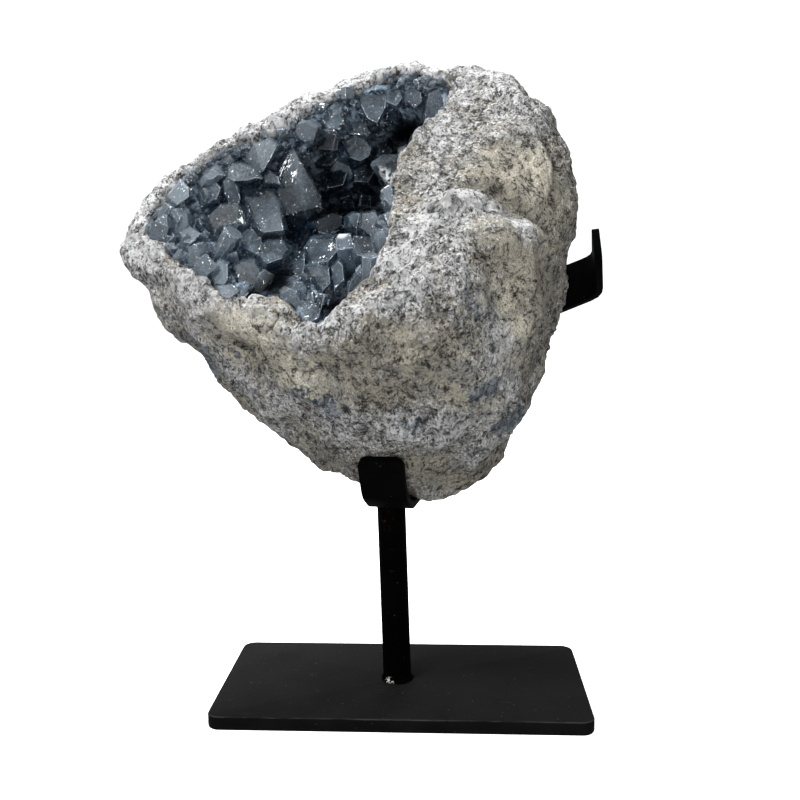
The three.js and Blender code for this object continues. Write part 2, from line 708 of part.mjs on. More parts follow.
// A large crystal: the hull of its outline, its top and its root, which goes down into the lining
function largeCrystal({ outline, out, rise, top, slope }) {
  const middle = outline.reduce(([x, y], [right, up]) => [x + right, y + up], [0, 0]);
  const [middleRight, middleUp] = middle.map((sum) => sum / outline.length);
  const foot = seenPlace([middleRight, middleUp], out);
  const toEye = seenFrom.clone().sub(foot).normalize();
  const down = wayToHeart(foot)
    .multiplyScalar(-0.8)
    .addScaledVector(toEye, -0.5)
    .addScaledVector(mouthFacing, -0.3)
    .normalize();
  let depth = 2;
  while (depth < deepestRoot && inOpenSpace(foot.clone().addScaledVector(down, depth))) depth++;
  const edge = outline.map((corner) => seenPlace(corner, out));
  const root = edge.map((corner) =>
    foot.clone().lerp(corner, rootShare).addScaledVector(down, depth + crystalRoot),
  );
  const topCorners = Array.isArray(top)
    ? top
    : outline.map(([right, up]) => [
        THREE.MathUtils.lerp(middleRight, right, top),
        THREE.MathUtils.lerp(middleUp, up, top),
      ]);
  const summit = topCorners.map(([right, up]) => {
    const tilt = (right - middleRight) * slope[0] + (up - middleUp) * slope[1];
    return seenPlace([right, up], out + rise + tilt);
  });
  return solidOf(new ConvexGeometry([...edge, ...root, ...summit]));
}

// A small blocky crystal standing on the origin: flat sides, bevelled shoulders and a small flat top
function smallCrystalGeometry(width, depth, height) {
  const shoulder = height - 0.3 * Math.min(width, height);
  const points = [];
  for (const [x, y] of fourSided) {
    points.push(new THREE.Vector3((x * width * 0.8) / 2, (y * depth * 0.8) / 2, -smallCrystalRoot));
    points.push(new THREE.Vector3((x * width) / 2, (y * depth) / 2, shoulder));
  }
  for (const [x, y] of crystalTop) {
    points.push(new THREE.Vector3((x * width) / 2, (y * depth) / 2, height));
  }
  return new ConvexGeometry(points);
}

// A small crystal set on a place, pointing along a way, turned about it
function standingCrystal(place, way, turn, size) {
  const crystal = smallCrystalGeometry(...size);
  crystal.rotateZ(turn);
  const stand = new THREE.Quaternion().setFromUnitVectors(new THREE.Vector3(0, 0, 1), way);
  crystal.applyQuaternion(stand);
  crystal.translate(place.x, place.y, place.z);
  return solidOf(crystal);
}

// Small crystals on the wall of the open space, first round the rim and then down into the dark,
// each pointing into the hollow and a little out of its mouth
function smallCrystals() {
  const random = seededRandom(23);
  const outline = insetOutline(openInset);
  const goldenShare = (Math.sqrt(5) - 1) / 2;
  const crystals = [];
  for (let i = 0; i < smallCrystalCount; i++) {
    const depthShare = (i + 0.5) / smallCrystalCount;
    const level = THREE.MathUtils.lerp(1, deepestLevel, depthShare ** 1.4);
    const [upper, lower] = [openSections[Math.floor(level)], openSections[Math.floor(level) + 1]];
    const section = openSectionAt(THREE.MathUtils.lerp(upper.depth, lower.depth, level % 1));
    const place = sectionPlace(section, ...outline[Math.floor(((i * goldenShare) % 1) * outline.length)]);
    const inward = wayToHeart(place);
    place.addScaledVector(inward, -smallCrystalRoot);
    const stray = new THREE.Vector3(random() - 0.5, random() - 0.5, random() - 0.5);
    const way = inward.addScaledVector(stray, 0.9).addScaledVector(mouthFacing, 0.4).normalize();
    const width = THREE.MathUtils.lerp(...smallCrystalSize, random());
    const size = [width, width * (0.7 + 0.3 * random()), width * (0.9 + 0.4 * random()) + 2];
    crystals.push(standingCrystal(place, way, random() * Math.PI, size));
  }
  return crystals;
}

// Only the largest body of a solid, without slivers that a cut set free
function largestBody(solid) {
  return solid.decompose().reduce((best, body) => (body.volume() > best.volume() ? body : best));
}

function geodeShell() {
  return largestBody(stoneBlock().subtract(hollowSolid(hollowSections, 0, 0)));
}

// The lining of the hollow with all its crystals, trimmed to keep clear of the stone
function crystalCrust() {
  const room = hollowSolid(hollowSections, crustGap, 0);
  const belowRim = hollowSolid([crustTop, ...hollowSections.slice(2)], crustGap, 0);
  const lining = belowRim.subtract(hollowSolid(openSections, openInset, openRoughness));
  const crystals = [...largeCrystals.map(largeCrystal), ...smallCrystals()];
  const grown = crystals.reduce((sum, crystal) => sum.add(crystal), lining);
  return largestBody(grown.intersect(room));
}

const stand = new THREE.Group();
stand.add(basePlate());
stand.add(post());
stand.add(namedMesh("cradle_strap", cradleStrap(), blackPaint));
const backArms = solidOf(backArm(1, 1)).add(solidOf(backArm(-1, leftEarShare)));
stand.add(namedMesh("back_arm", geometryOf(backArms), blackPaint));

const geode = new THREE.Group();
geode.add(namedMesh("geode_shell", geometryOf(geodeShell()), rock));
geode.add(namedMesh("crystal_crust", geometryOf(crystalCrust()), celestite));

const group = new THREE.Group();
group.add(stand, geode);

export default group;
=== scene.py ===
# Celestite geode on a black steel stand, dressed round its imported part.
# +Z is up and the front faces -Y. Shapes are worked out in millimetres and scaled to metres last.
import json
import math
import random

import bmesh
import bpy
import numpy as np
from mathutils import Matrix, Vector, noise

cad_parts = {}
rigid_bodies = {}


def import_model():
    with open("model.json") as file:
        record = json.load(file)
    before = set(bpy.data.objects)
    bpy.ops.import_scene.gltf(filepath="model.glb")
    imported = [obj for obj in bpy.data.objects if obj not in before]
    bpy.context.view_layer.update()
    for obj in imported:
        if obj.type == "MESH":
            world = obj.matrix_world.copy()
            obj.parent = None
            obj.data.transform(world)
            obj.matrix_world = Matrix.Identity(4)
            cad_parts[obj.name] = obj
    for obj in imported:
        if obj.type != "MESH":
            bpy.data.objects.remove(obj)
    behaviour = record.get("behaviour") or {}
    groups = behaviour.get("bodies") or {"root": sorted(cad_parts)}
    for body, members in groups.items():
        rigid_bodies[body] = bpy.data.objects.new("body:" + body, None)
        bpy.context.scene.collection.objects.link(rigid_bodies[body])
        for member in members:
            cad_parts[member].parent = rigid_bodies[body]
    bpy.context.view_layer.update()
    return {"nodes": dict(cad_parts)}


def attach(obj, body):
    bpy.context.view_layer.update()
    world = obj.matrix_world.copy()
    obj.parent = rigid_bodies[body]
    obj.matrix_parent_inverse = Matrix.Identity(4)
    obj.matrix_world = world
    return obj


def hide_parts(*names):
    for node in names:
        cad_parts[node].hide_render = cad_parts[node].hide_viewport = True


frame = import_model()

mm = 0.001
scene = bpy.context.scene

# camera
view = {
    "place": (20.2, -401.9, 186.0),
    "heading": 2.93,
    "down": 7.63,
    "roll": -0.49,
    "lens": 42.3,
    "film": 36,
    "nearest": 10,
}


def placeCamera():
    heading, down, roll = (math.radians(view[key]) for key in ("heading", "down", "roll"))
    ahead = Vector((-math.sin(heading) * math.cos(down), math.cos(heading) * math.cos(down), -math.sin(down)))
    level = Vector((math.cos(heading), math.sin(heading), 0))
    right = Matrix.Rotation(-roll, 3, ahead) @ level
    up = right.cross(ahead)
    camera = bpy.data.objects.new("camera", bpy.data.cameras.new("camera"))
    camera.data.sensor_width = view["film"]
    camera.data.lens = view["lens"]
    camera.data.clip_start = view["nearest"] * mm
    turn = Matrix((right, up, -ahead)).transposed().to_4x4()
    camera.matrix_world = Matrix.Translation(Vector(view["place"]) * mm) @ turn
    scene.collection.objects.link(camera)
    scene.camera = camera


placeCamera()
print("camera placed")


# shader writing
class Wire:  # one output of a node, so that shader maths reads as plain sums
    def __init__(self, finish, socket):
        self.finish = finish
        self.socket = socket

    def maths(self, operation, *values):
        return self.finish.node("ShaderNodeMath", {"operation": operation}, dict(enumerate(values)))

    def orMore(self, other):  # the larger of the two
        return self.maths("MAXIMUM", self, other)

    def __abs__(self):
        return self.maths("ABSOLUTE", self)

    def __add__(self, other):
        return self.maths("ADD", self, other)

    def __sub__(self, other):
        return self.maths("SUBTRACT", self, other)

    def __mul__(self, other):
        return self.maths("MULTIPLY", self, other)

    def __rsub__(self, other):
        return self.maths("SUBTRACT", other, self)

    __radd__ = __add__
    __rmul__ = __mul__


class Finish:  # a material with its nodes
    def __init__(self, name):
        self.material = bpy.data.materials.new(name)
        self.material.use_nodes = True
        self.tree = self.material.node_tree
        self.tree.nodes.clear()
        self.place = None

    def node(self, kind, settings=None, sockets=None, out=0):
        made = self.tree.nodes.new(kind)
        for key, value in (settings or {}).items():
            setattr(made, key, value)
        for key, value in (sockets or {}).items():
            socket = made.inputs[key]
            if isinstance(value, Wire):
                self.tree.links.new(value.socket, socket)
            elif socket.type == "RGBA" and len(value) == 3:
                socket.default_value = (*value, 1)
            else:
                socket.default_value = value
        return Wire(self, made.outputs[out]) if made.outputs else made

    def places(self):  # where a point lies, in millimetres
        if self.place is None:
            spot = self.node("ShaderNodeTexCoord", out=3)
            self.place = self.node("ShaderNodeVectorMath", {"operation": "SCALE"}, {0: spot, "Scale": 1 / mm})
        return self.place

    def clouds(self, size, detail=3.0, roughness=0.5, stretch=None, swirl=0.0):
        at = self.places()
        if stretch:
            at = self.node("ShaderNodeVectorMath", {"operation": "MULTIPLY"}, {0: at, 1: stretch})
        sockets = {"Vector": at, "Scale": 1 / size, "Detail": detail, "Roughness": roughness}
        return self.node("ShaderNodeTexNoise", {}, {**sockets, "Distortion": swirl})

    def grains(self, size, out=0):  # out 1 is a colour of its own for each grain
        return self.node("ShaderNodeTexVoronoi", {}, {"Vector": self.places(), "Scale": 1 / size}, out)

    def step(self, value, low, high):  # 0 below low, 1 above high, smooth between
        settings = {"interpolation_type": "SMOOTHSTEP"}
        return self.node("ShaderNodeMapRange", settings, {0: value, 1: low, 2: high})

    def mix(self, amount, first, second, way="MIX"):
        settings = {"data_type": "RGBA", "blend_type": way}
        return self.node("ShaderNodeMix", settings, {0: amount, 6: first, 7: second}, 2)

    def painted(self, name):  # a mask kept on the mesh
        return self.node("ShaderNodeAttribute", {"attribute_name": name}, out=2)

    def along(self, way):  # how far a point lies along a direction
        return self.node("ShaderNodeVectorMath", {"operation": "DOT_PRODUCT"}, {0: self.places(), 1: way}, 1)

    def near(self, place, reach):  # 1 at a place, 0 beyond its reach
        gap = self.node("ShaderNodeVectorMath", {"operation": "DISTANCE"}, {0: self.places(), 1: place}, 1)
        return 1 - self.step(gap, reach * 0.4, reach)

    def bump(self, height, distance, strength):
        sockets = {"Height": height, "Distance": distance * mm, "Strength": strength}
        return self.node("ShaderNodeBump", {}, sockets)

    def surface(self, sockets):
        return self.node("ShaderNodeBsdfPrincipled", {}, sockets)

    def done(self, surface, volume=None):
        sockets = {"Surface": surface}
        if volume:
            sockets["Volume"] = volume
        self.node("ShaderNodeOutputMaterial", {}, sockets)
        return self.material


# meshes
def meshOf(name, block):  # from a block in millimetres
    block.transform(Matrix.Scale(mm, 4))
    mesh = bpy.data.meshes.new(name)
    block.to_mesh(mesh)
    block.free()
    return mesh


def hung(name, mesh):
    thing = bpy.data.objects.new(name, mesh)
    scene.collection.objects.link(thing)
    return thing


def settle(thing):  # works a thing's modifiers into its mesh
    graph = bpy.context.evaluated_depsgraph_get()
    mesh = bpy.data.meshes.new_from_object(thing.evaluated_get(graph))
    thing.modifiers.clear()
    thing.data = mesh


def regrid(thing, spacing):  # an even grid of faces over a closed thing
    grid = thing.modifiers.new("grid", "REMESH")
    grid.mode = "VOXEL"
    grid.voxel_size = spacing * mm


def joinSolids(thing, others, operation):  # joins, cuts away or keeps the common part of closed meshes
    crowd = bpy.data.collections.new("crowd")
    scene.collection.children.link(crowd)
    for number, mesh in enumerate(others):
        crowd.objects.link(bpy.data.objects.new(f"cut{number}", mesh))
    work = thing.modifiers.new("join", "BOOLEAN")
    work.operation = operation
    work.operand_type = "COLLECTION"
    work.collection = crowd
    work.solver = "MANIFOLD"
    settle(thing)
    for other in list(crowd.objects):
        bpy.data.objects.remove(other)
    bpy.data.collections.remove(crowd)


def dropDoubles(thing):  # two faces on the same corners hold no room between them
    block = bmesh.new()
    block.from_mesh(thing.data)
    sharing = {}
    for face in block.faces:
        sharing.setdefault(frozenset(corner.index for corner in face.verts), []).append(face)
    doubled = [face for faces in sharing.values() if len(faces) > 1 for face in faces]
    bmesh.ops.delete(block, geom=doubled, context="FACES")
    block.to_mesh(thing.data)
    block.free()


def asPiece(piece, finish, node):
    piece.data.materials.clear()
    piece.data.materials.append(finish)
    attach(piece, "root")
    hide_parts(node)


def pointsOf(mesh):
    points = np.zeros(len(mesh.vertices) * 3)
    mesh.vertices.foreach_get("co", points)
    return points.reshape(-1, 3) / mm


def outwardOf(mesh):
    ways = np.zeros(len(mesh.vertices) * 3)
    mesh.vertex_normals.foreach_get("vector", ways)
    return ways.reshape(-1, 3)


def movePoints(mesh, points):
    mesh.vertices.foreach_set("co", (points * mm).ravel())
    mesh.update()


def paint(mesh, name, values, domain="POINT"):
    layer = mesh.attributes.new(name, "FLOAT", domain)
    layer.data.foreach_set("value", np.asarray(values, np.float32))


def nearStroke(points, stroke, reach):  # 1 on a line through places, fading to 0 over its reach
    gap = np.full(len(points), np.inf)
    for start, end in zip(stroke, stroke[1:] or stroke):
        a, b = np.array(start, float), np.array(end, float)
        span = max((b - a) @ (b - a), 1e-9)  # a stroke of one place has no length
        along = np.clip((points - a) @ (b - a) / span, 0, 1)
        gap = np.minimum(gap, np.linalg.norm(points - a - along[:, None] * (b - a), axis=1))
    return np.exp(-((gap / reach) ** 2))


def loft(rings):  # a closed solid through matching rings of places
    block = bmesh.new()
    rows = [[block.verts.new(place) for place in ring] for ring in rings]
    for upper, lower in zip(rows, rows[1:]):
        for i in range(len(upper)):
            j = (i + 1) % len(upper)
            block.faces.new((upper[i], upper[j], lower[j], lower[i]))
    for row in (rows[0], rows[-1]):
        middle = block.verts.new(sum((v.co for v in row), Vector()) / len(row))
        for i in range(len(row)):
            block.faces.new((row[i], row[(i + 1) % len(row)], middle))
    bmesh.ops.recalc_face_normals(block, faces=block.faces)
    return block


# stone
stone = {
    "grid": 1.12,  # spacing of the fine skin
    "evening": 4,
    "lumps": [(14, 1.5), (7.5, 1.0), (4, 0.6), (2.3, 0.4), (1.4, 0.28)],  # size and rise of each noise
    "largeLump": 8,  # lumps from this size on are the same all over, smaller ones change with the ground
    "roughSize": 26,
    "rough": (0.9, 1.3),  # middle and swing of the roughness
    "calm": (0.62, 0.5, 0.45),  # roughness of the ground, more under frost, less where smooth
    "calmRange": (0.2, 1.1),
    "ledgeSize": 15,
    "ledgeRise": 1.1,
    "ledgeCount": 4,
    "ledgeSteep": 3,
    "ledgeShift": Vector((2, 9, 4)),  # shifts keep the noises apart
    "pitSize": 4.6,
    "pitDepth": 1.3,
    "pitShare": 0.3,
    "crackSize": 19,
    "crackDepth": 1.4,
    "crackWidth": 0.05,
    "crackShare": (0.4, 0.6),  # depth on rough ground, more where smooth
    "crackShift": Vector((7, 3, 1)),
    "lipReach": 8,  # the broken edge of the hollow is rougher
    "lipLumps": [(7, 2.4), (3.4, 1.3)],
    "lipShift": Vector((5, 1, 8)),
    "lipLeast": 0.02,
    "reliefShadeSpan": 4,  # rise over which the painted relief light and shade goes from 0 to 1, dips darker, crests lighter
    "reliefShadeForms": 0.5,  # share of the large forms in it
    "innerDepth": 3,  # depth over which the wall of the hollow begins
    "innerTurn": 4,  # how sharply it ends where the skin turns away
}
# lines over the skin: the frosted top edge, the smooth slab on the left, its crack and the band beside it
topEdge = [(-111, 6, 209), (-95, 17, 229), (-72, 22, 245), (-45, 28, 260), (-20, 32, 272), (8, 25, 274)]
slabCrack = [
    (-57, -38, 168), (-54, -39, 165), (-51, -42, 163), (-47, -45, 166), (-45, -46, 170), (-45, -44, 172),
]
slab = [(-68, -28, 169), (-51, -41, 166), (-45, -40, 156), (-35, -40, 145)]
leftBand = [(-80, -18, 162), (-71, -18, 155), (-63, -18, 151)]
# zones of the skin as strokes: places, reach, strength
frostStrokes = [
    (topEdge, 16, 1.45),
    ([(-116, 4, 204), (-105, -6, 192)], 13, 1.0),
    ([(-100, -10, 189), (-84, -22, 180), (-67, -30, 175), (-47, -44, 171), (-33, -51, 164)], 9, 0.9),
    ([(-25, -55, 166), (-5, -57, 174), (10, -58, 181)], 9, 0.9),
    ([(3, -49, 190), (12, -44, 202), (17, -38, 212)], 13, 0.8),
    ([(19, -40, 210), (30, -36, 213), (39, -32, 208), (48, -38, 200)], 9, 0.95),
    ([(17, -49, 198), (23, -58, 189), (28, -57, 180)], 13, 0.7),
    ([(17, 29, 264), (34, 10, 265), (48, 1, 258), (58, -5, 246)], 19, 0.72),
    ([(22, -1, 251), (19, -15, 235), (14, -31, 218)], 16, 0.55),
    ([(-46, -23, 134), (-24, -35, 129), (-2, -42, 127), (17, -45, 128), (37, -26, 123)], 15, 0.8),
    ([(34, -52, 176), (40, -44, 159), (40, -35, 139)], 14, 0.62),
    ([(-92, -10, 168), (-78, -11, 154), (-62, -15, 141), (-46, -13, 125)], 9, 0.6),
    ([(1, -23, 102), (17, -3, 93)], 10, 0.5),
    ([(-40, 66, 236), (10, 66, 246), (50, 46, 236)], 18, 0.8),
    ([(-70, 50, 200), (-40, 70, 180)], 14, 0.5),
    ([(40, 62, 176), (52, 44, 150)], 12, 0.6),
]
smoothStrokes = [
    (slab, 11, 1.0),
    ([(-24, -52, 156), (-5, -56, 160), (14, -56, 158)], 12, 0.6),
    ([(-37, -40, 145), (-9, -51, 145), (17, -50, 143)], 10, 0.55),
    ([(41, -29, 220), (55, -17, 229), (63, -14, 215)], 15, 0.9),
    ([(43, -47, 193), (47, -43, 183), (54, -28, 199)], 11, 1.0),
    ([(59, -20, 179), (52, -37, 164)], 11, 0.9),
    ([(7, -26, 107), (19, -12, 100)], 10, 0.9),
    ([(-10, 76, 200), (20, 76, 190)], 20, 0.9),
    ([(-60, 40, 150), (-20, 40, 124)], 16, 0.7),
]
# forms of the stone that stand out or lie back: places, reach, rise
reliefStrokes = [
    ([(19, -37, 214), (27, -36, 215), (33, -35, 210), (40, -45, 200), (57, -25, 199)], 8, 3.4),  # lobe
    ([(12, -41, 205), (30, -50, 200)], 14, 1.6),
    ([(17, -35, 216), (31, -31, 219), (41, -30, 216), (53, -26, 207), (60, -20, 202)], 3.5, -3.4),  # crease
    ([(33, -54, 191), (40, -47, 182), (48, -42, 172)], 8, -3.6),  # hollow under it
    ([(62, -4, 242), (66, -9, 229), (62, -16, 215), (59, -22, 201), (61, -19, 189), (56, -38, 176)], 3, -2.2),
    ([(69, -5, 222), (70, -5, 205)], 5, 1),
    ([(-74, -24, 167), (-65, -22, 156), (-53, -30, 148), (-46, -29, 139)], 4, -1.6),  # ledge on the left
    ([(-71, -28, 172), (-53, -39, 165), (-41, -41, 153), (-33, -41, 145)], 8, 1.3),
    ([(-36, -34, 134), (-27, -32, 127)], 5, -1.6),  # pits low down
    ([(6, -45, 135), (13, -43, 126)], 5, -1.4),
    ([(30, -13, 106), (36, -26, 120), (40, -32, 133)], 4, 1.8),  # white rib
    ([(38, -24, 121), (44, -27, 128)], 5, -2.2),
    ([(48, -22, 130)], 6, 3),
    ([(12, -4, 92), (17, -1, 92)], 8, 3.5),  # foot of the stone
    ([(-101, 0, 174), (-97, 4, 167)], 8, 2.4),
    ([(-94, -1, 159), (-88, 5, 151)], 8, -1.5),
    ([(-48, 0, 115)], 8, 1.4),
    ([(-34, -9, 107)], 9, -2),
    ([(36, 20, 268), (46, 14, 260)], 10, 3),
    ([(67, -6, 236), (69, -6, 230)], 12, -3),
    ([(65, 4, 167)], 6, -2.4),
    ([(59, 4, 144), (54, -2, 132)], 9, 2.6),
    ([(44, -4, 114)], 8, -3),
    ([(36, -3, 100)], 8, -3),
    ([(-80, 24, 243)], 8, -2),
    ([(-36, 33, 266)], 8, 1.5),
    ([(0, -13, 221), (0, -21, 212)], 6, -3.5),  # dip in the right lip
]
blueStrokes = [
    ([(-87, -4, 157), (-82, -1, 146)], 9, 0.8),
    (leftBand, 5, 0.55),
    ([(-39, -35, 138), (-24, -40, 134)], 9, 0.7),
    ([(4, -43, 128), (10, -44, 127)], 6, 0.6),
    ([(43, -25, 125), (50, -20, 129)], 8, 0.95),
    ([(28, -57, 176), (31, -53, 171)], 7, 0.6),
    ([(32, -46, 140), (37, -41, 143)], 7, 0.9),
    ([(20, 70, 216), (34, 66, 208)], 9, 0.7),
]
paleStrokes = [
    (slab, 11, 0.95),
    ([(55, -12, 235), (57, -19, 224), (58, -22, 210)], 13, 0.5),
    ([(40, -46, 180), (46, -41, 164), (42, -38, 149)], 13, 0.95),
    ([(32, -49, 144), (41, -31, 132), (44, -16, 117)], 12, 0.5),
    (leftBand, 7, 0.7),
]
crackStrokes = [
    (slabCrack, 1.3, 1),
    ([(-60, -25, 155), (-55, -34, 159), (-54, -39, 163)], 1.3, 0.9),
    ([(-42, -45, 161), (-40, -44, 157), (-39, -43, 153), (-36, -41, 149)], 1.2, 0.8),
    ([(60, -19, 213), (57, -22, 206), (56, -25, 200)], 1.5, 0.9),
    ([(46, -43, 182), (48, -42, 176), (52, -40, 171)], 1.4, 0.8),
    ([(41, -30, 216), (53, -26, 207), (60, -20, 202)], 1.4, 0.7),
    ([(62, -4, 242), (66, -9, 229), (62, -16, 215)], 1.4, 0.7),
]
zones = {
    "frost": frostStrokes,
    "smooth": smoothStrokes,
    "blue": blueStrokes,
    "pale": paleStrokes,
    "crack": crackStrokes,
}


def skinRise(spot, calm, smooth, crack, lip):  # how far the skin rises at one spot
    rise = 0
    middle, swing = stone["rough"]
    rough = calm * (middle + swing * noise.noise(spot / stone["roughSize"]))
    for size, height in stone["lumps"]:
        rise += height * noise.noise(spot / size) * (rough if size < stone["largeLump"] else 1)
    if lip > stone["lipLeast"]:
        lumps = [height * noise.noise(spot / size + stone["lipShift"]) for size, height in stone["lipLumps"]]
        rise += lip * sum(lumps)
    ledge = stone["ledgeCount"] * noise.noise(spot / stone["ledgeSize"] + stone["ledgeShift"])
    rise += stone["ledgeRise"] * (math.floor(ledge) + min(1, stone["ledgeSteep"] * (ledge % 1)) - ledge)
    pit = noise.voronoi(spot / stone["pitSize"])[0][0]
    rise -= stone["pitDepth"] * max(0, stone["pitShare"] - pit) / stone["pitShare"] * calm
    vein = abs(noise.noise(spot / stone["crackSize"] + stone["crackShift"]))
    least, more = stone["crackShare"]
    rise -= stone["crackDepth"] * max(0, 1 - vein / stone["crackWidth"]) * (least + more * smooth)
    return rise - stone["crackDepth"] * crack


def stoneSkin():
    skin = hung("geode_stone", frame["nodes"]["geode_shell"].data.copy())
    regrid(skin, stone["grid"])
    even = skin.modifiers.new("even", "SMOOTH")
    even.iterations = stone["evening"]
    settle(skin)
    mesh = skin.data
    points = pointsOf(mesh)
    outward = outwardOf(mesh)
    masks = {}
    for name, strokes in zones.items():
        parts = [nearStroke(points, line, reach) * amount for line, reach, amount in strokes]
        masks[name] = np.max(parts, axis=0)
        paint(mesh, name, masks[name])
    paint(mesh, "inner", innerWall(points, outward))
    forms = sum(nearStroke(points, line, reach) * height for line, reach, height in reliefStrokes)
    edge = [tuple(fromMouth(*place, 0)) for place in rimPlaces(0)]
    lip = nearStroke(points, edge + edge[:1], stone["lipReach"])
    plain, frosty, smoothed = stone["calm"]
    calm = np.clip(plain + frosty * masks["frost"] - smoothed * masks["smooth"], *stone["calmRange"])
    ground = zip(points, calm, masks["smooth"], masks["crack"], lip)
    rise = np.array([skinRise(Vector(point), *rest) for point, *rest in ground])
    # painted light and shade by relief: crests lighter and whiter, dips darker
    paint(mesh, "reliefShade", np.clip(0.5 + (rise + stone["reliefShadeForms"] * forms) / stone["reliefShadeSpan"], -0.1, 1))
    movePoints(mesh, points + outward * (rise + forms)[:, None])
    mesh.shade_smooth()
    print("stone skin", len(mesh.polygons), "faces")
    return skin


def innerWall(points, outward):  # 1 on the wall of the hollow
    away = points - np.array(mouth["middle"])
    depth = -away @ np.array(mouth["facing"])
    heart = np.array(fromMouth(*mouth["heart"])) - points
    toHeart = np.sum(outward * heart, axis=1) / np.linalg.norm(heart, axis=1)
    return np.clip(depth / stone["innerDepth"], 0, 1) * np.clip(toHeart * stone["innerTurn"], 0, 1)


rockColours = {
    "clay": (0.56, 0.524, 0.44),
    "coolClay": (0.485, 0.463, 0.413),
    "smoothClay": (0.56, 0.524, 0.442),
    "darkClay": (0.27, 0.255, 0.225),
    "underFrost": (0.34, 0.355, 0.37),
    "paler": (1.75, 1.77, 1.78),  # multiplies the clay in the pale zones
    "grit": (0.12, 0.11, 0.095),
    "frost": (0.9, 0.905, 0.915),
    # painted shade laid in mid-size patches
    "shadePatch": (0.19, 0.19, 0.185),
    "darkFacet": (0.13, 0.165, 0.2),
    "paleFacet": (0.42, 0.475, 0.54),
    "speck": (0.065, 0.061, 0.054),
    "score": (0.13, 0.118, 0.095),
    "rust": (0.26, 0.2, 0.12),
    "crack": (0.05, 0.045, 0.038),
    "shadow": (0.62, 0.61, 0.58),  # multiplies all in wide soft clouds
    "wallGap": (0.02, 0.028, 0.036),
    "wall": (0.14, 0.17, 0.2),
}


def rockFinish():
    rock = Finish("rock")
    tint = rockColours
    names = ("frost", "smooth", "blue", "reliefShade", "pale", "inner", "crack")
    frost, smooth, blue, reliefShade, pale, inner, crack = (rock.painted(name) for name in names)
    cloud = rock.clouds(13, 4)
    mottle = rock.clouds(3.4, 5, 0.7)
    grain = rock.clouds(1.25, 4, 0.78, None, 0.3)
    gaps = rock.clouds(1.5, 4, 0.78, (1, 1.3, 0.8), 0.5)
    pits = 1 - rock.step(rock.grains(2.3) + (grain - 0.5) * 1.2, 0.16, 0.26)
    score = rock.step(rock.clouds(2.1, 3, 0.6, (1.7, 1.7, 0.4), 0.6), 0.6, 0.66)
    patch = rock.clouds(6.5, 3, 0.6)
    # the relief shade mask adds painted light as white frost on crests, and painted shade in dips
    cover = frost + (cloud - 0.5) * 1.3 + (mottle - 0.5) * 0.8 + (reliefShade - 0.5) * 0.7 - smooth * 0.75
    # bare rock: warm grey clay with darker grit
    clay = rock.mix(rock.step(cloud, 0.36, 0.64), tint["clay"], tint["coolClay"])
    clay = rock.mix(rock.step(mottle, 0.48, 0.7) * (0.6 - smooth * 0.3), clay, tint["darkClay"])
    clay = rock.mix(rock.step(cover, 0.35, 0.8) * 0.7, clay, tint["underFrost"])
    clay = rock.mix(smooth * 0.75, clay, tint["smoothClay"])
    clay = rock.mix(pale, clay, tint["paler"], "MULTIPLY")
    grit = rock.step(rock.clouds(0.85, 3, 0.8), 0.5, 0.62)
    clay = rock.mix(grit * 0.45, clay, tint["grit"])
    # fine veins where the ground is broken, and the cracks of the photo
    vein = 1 - rock.step(abs(rock.clouds(10, 5, 0.62, None, 0.6) - 0.5), 0.006, 0.032)
    vein = vein * rock.step(mottle, 0.36, 0.52) * rock.step(patch, 0.4, 0.55)
    vein = vein.orMore(rock.step(crack + (grain - 0.5) * 0.9, 0.62, 0.95) * 0.9)
    # sugary frost: white needles with dark gaps between them
    white = rock.step(grain + cover * 0.16, 0.54, 0.58)
    colour = rock.mix(white * 0.95, clay, tint["frost"])
    # mid-size patches of painted shade
    colour = rock.mix(rock.step(patch, 0.44, 0.62) * (0.45 - smooth * 0.25), colour, tint["shadePatch"])
    # small crystals in the outside of the stone
    facet = rock.mix(rock.step(rock.grains(2.6, 1), 0.25, 0.75), tint["darkFacet"], tint["paleFacet"])
    bluish = rock.step(blue + (mottle - 0.5) * 1.8 + (grain - 0.5) * 0.9, 0.5, 0.64)
    colour = rock.mix(bluish * 0.85, colour, facet)
    # dark specks and pits, short scores, rust, veins and soft shadow
    # fewer dark specks on crests, part of the painted relief light
    dark = gaps + (mottle - 0.5) * 0.5 - (reliefShade - 0.5) * 0.08 - smooth * 0.05 - pale * 0.03
    speck = rock.step(dark, 0.55, 0.59).orMore(pits * (0.45 - smooth * 0.2))
    colour = rock.mix(speck * 0.85, colour, tint["speck"])
    colour = rock.mix(score * (0.4 - pale * 0.15), colour, tint["score"])
    colour = rock.mix(rock.step(rock.clouds(5.5, 4, 0.75), 0.62, 0.72) * 0.25, colour, tint["rust"])
    colour = rock.mix(vein * 0.8, colour, tint["crack"])
    colour = rock.mix(rock.step(rock.clouds(28, 3), 0.4, 0.62) * 0.15, colour, tint["shadow"], "MULTIPLY")
    # the wall of the hollow, where no crystal hides it
    wall = rock.mix(rock.step(gaps, 0.4, 0.6), tint["wallGap"], tint["wall"])
    colour = rock.mix(rock.step(inner + (mottle - 0.5) * 0.7, 0.35, 0.65), colour, wall)
    height = grain * 1.1 + mottle * 1.5 + white * 0.35 - speck * 0.6 - score * 0.3 - vein * 0.5
    normal = rock.bump(height, 3.2, 1.0)
    roughness = 0.95 - white * 0.2
    sockets = {"Base Color": colour, "Roughness": roughness, "Normal": normal, "Specular IOR Level": 0.3}
    return rock.done(rock.surface(sockets))


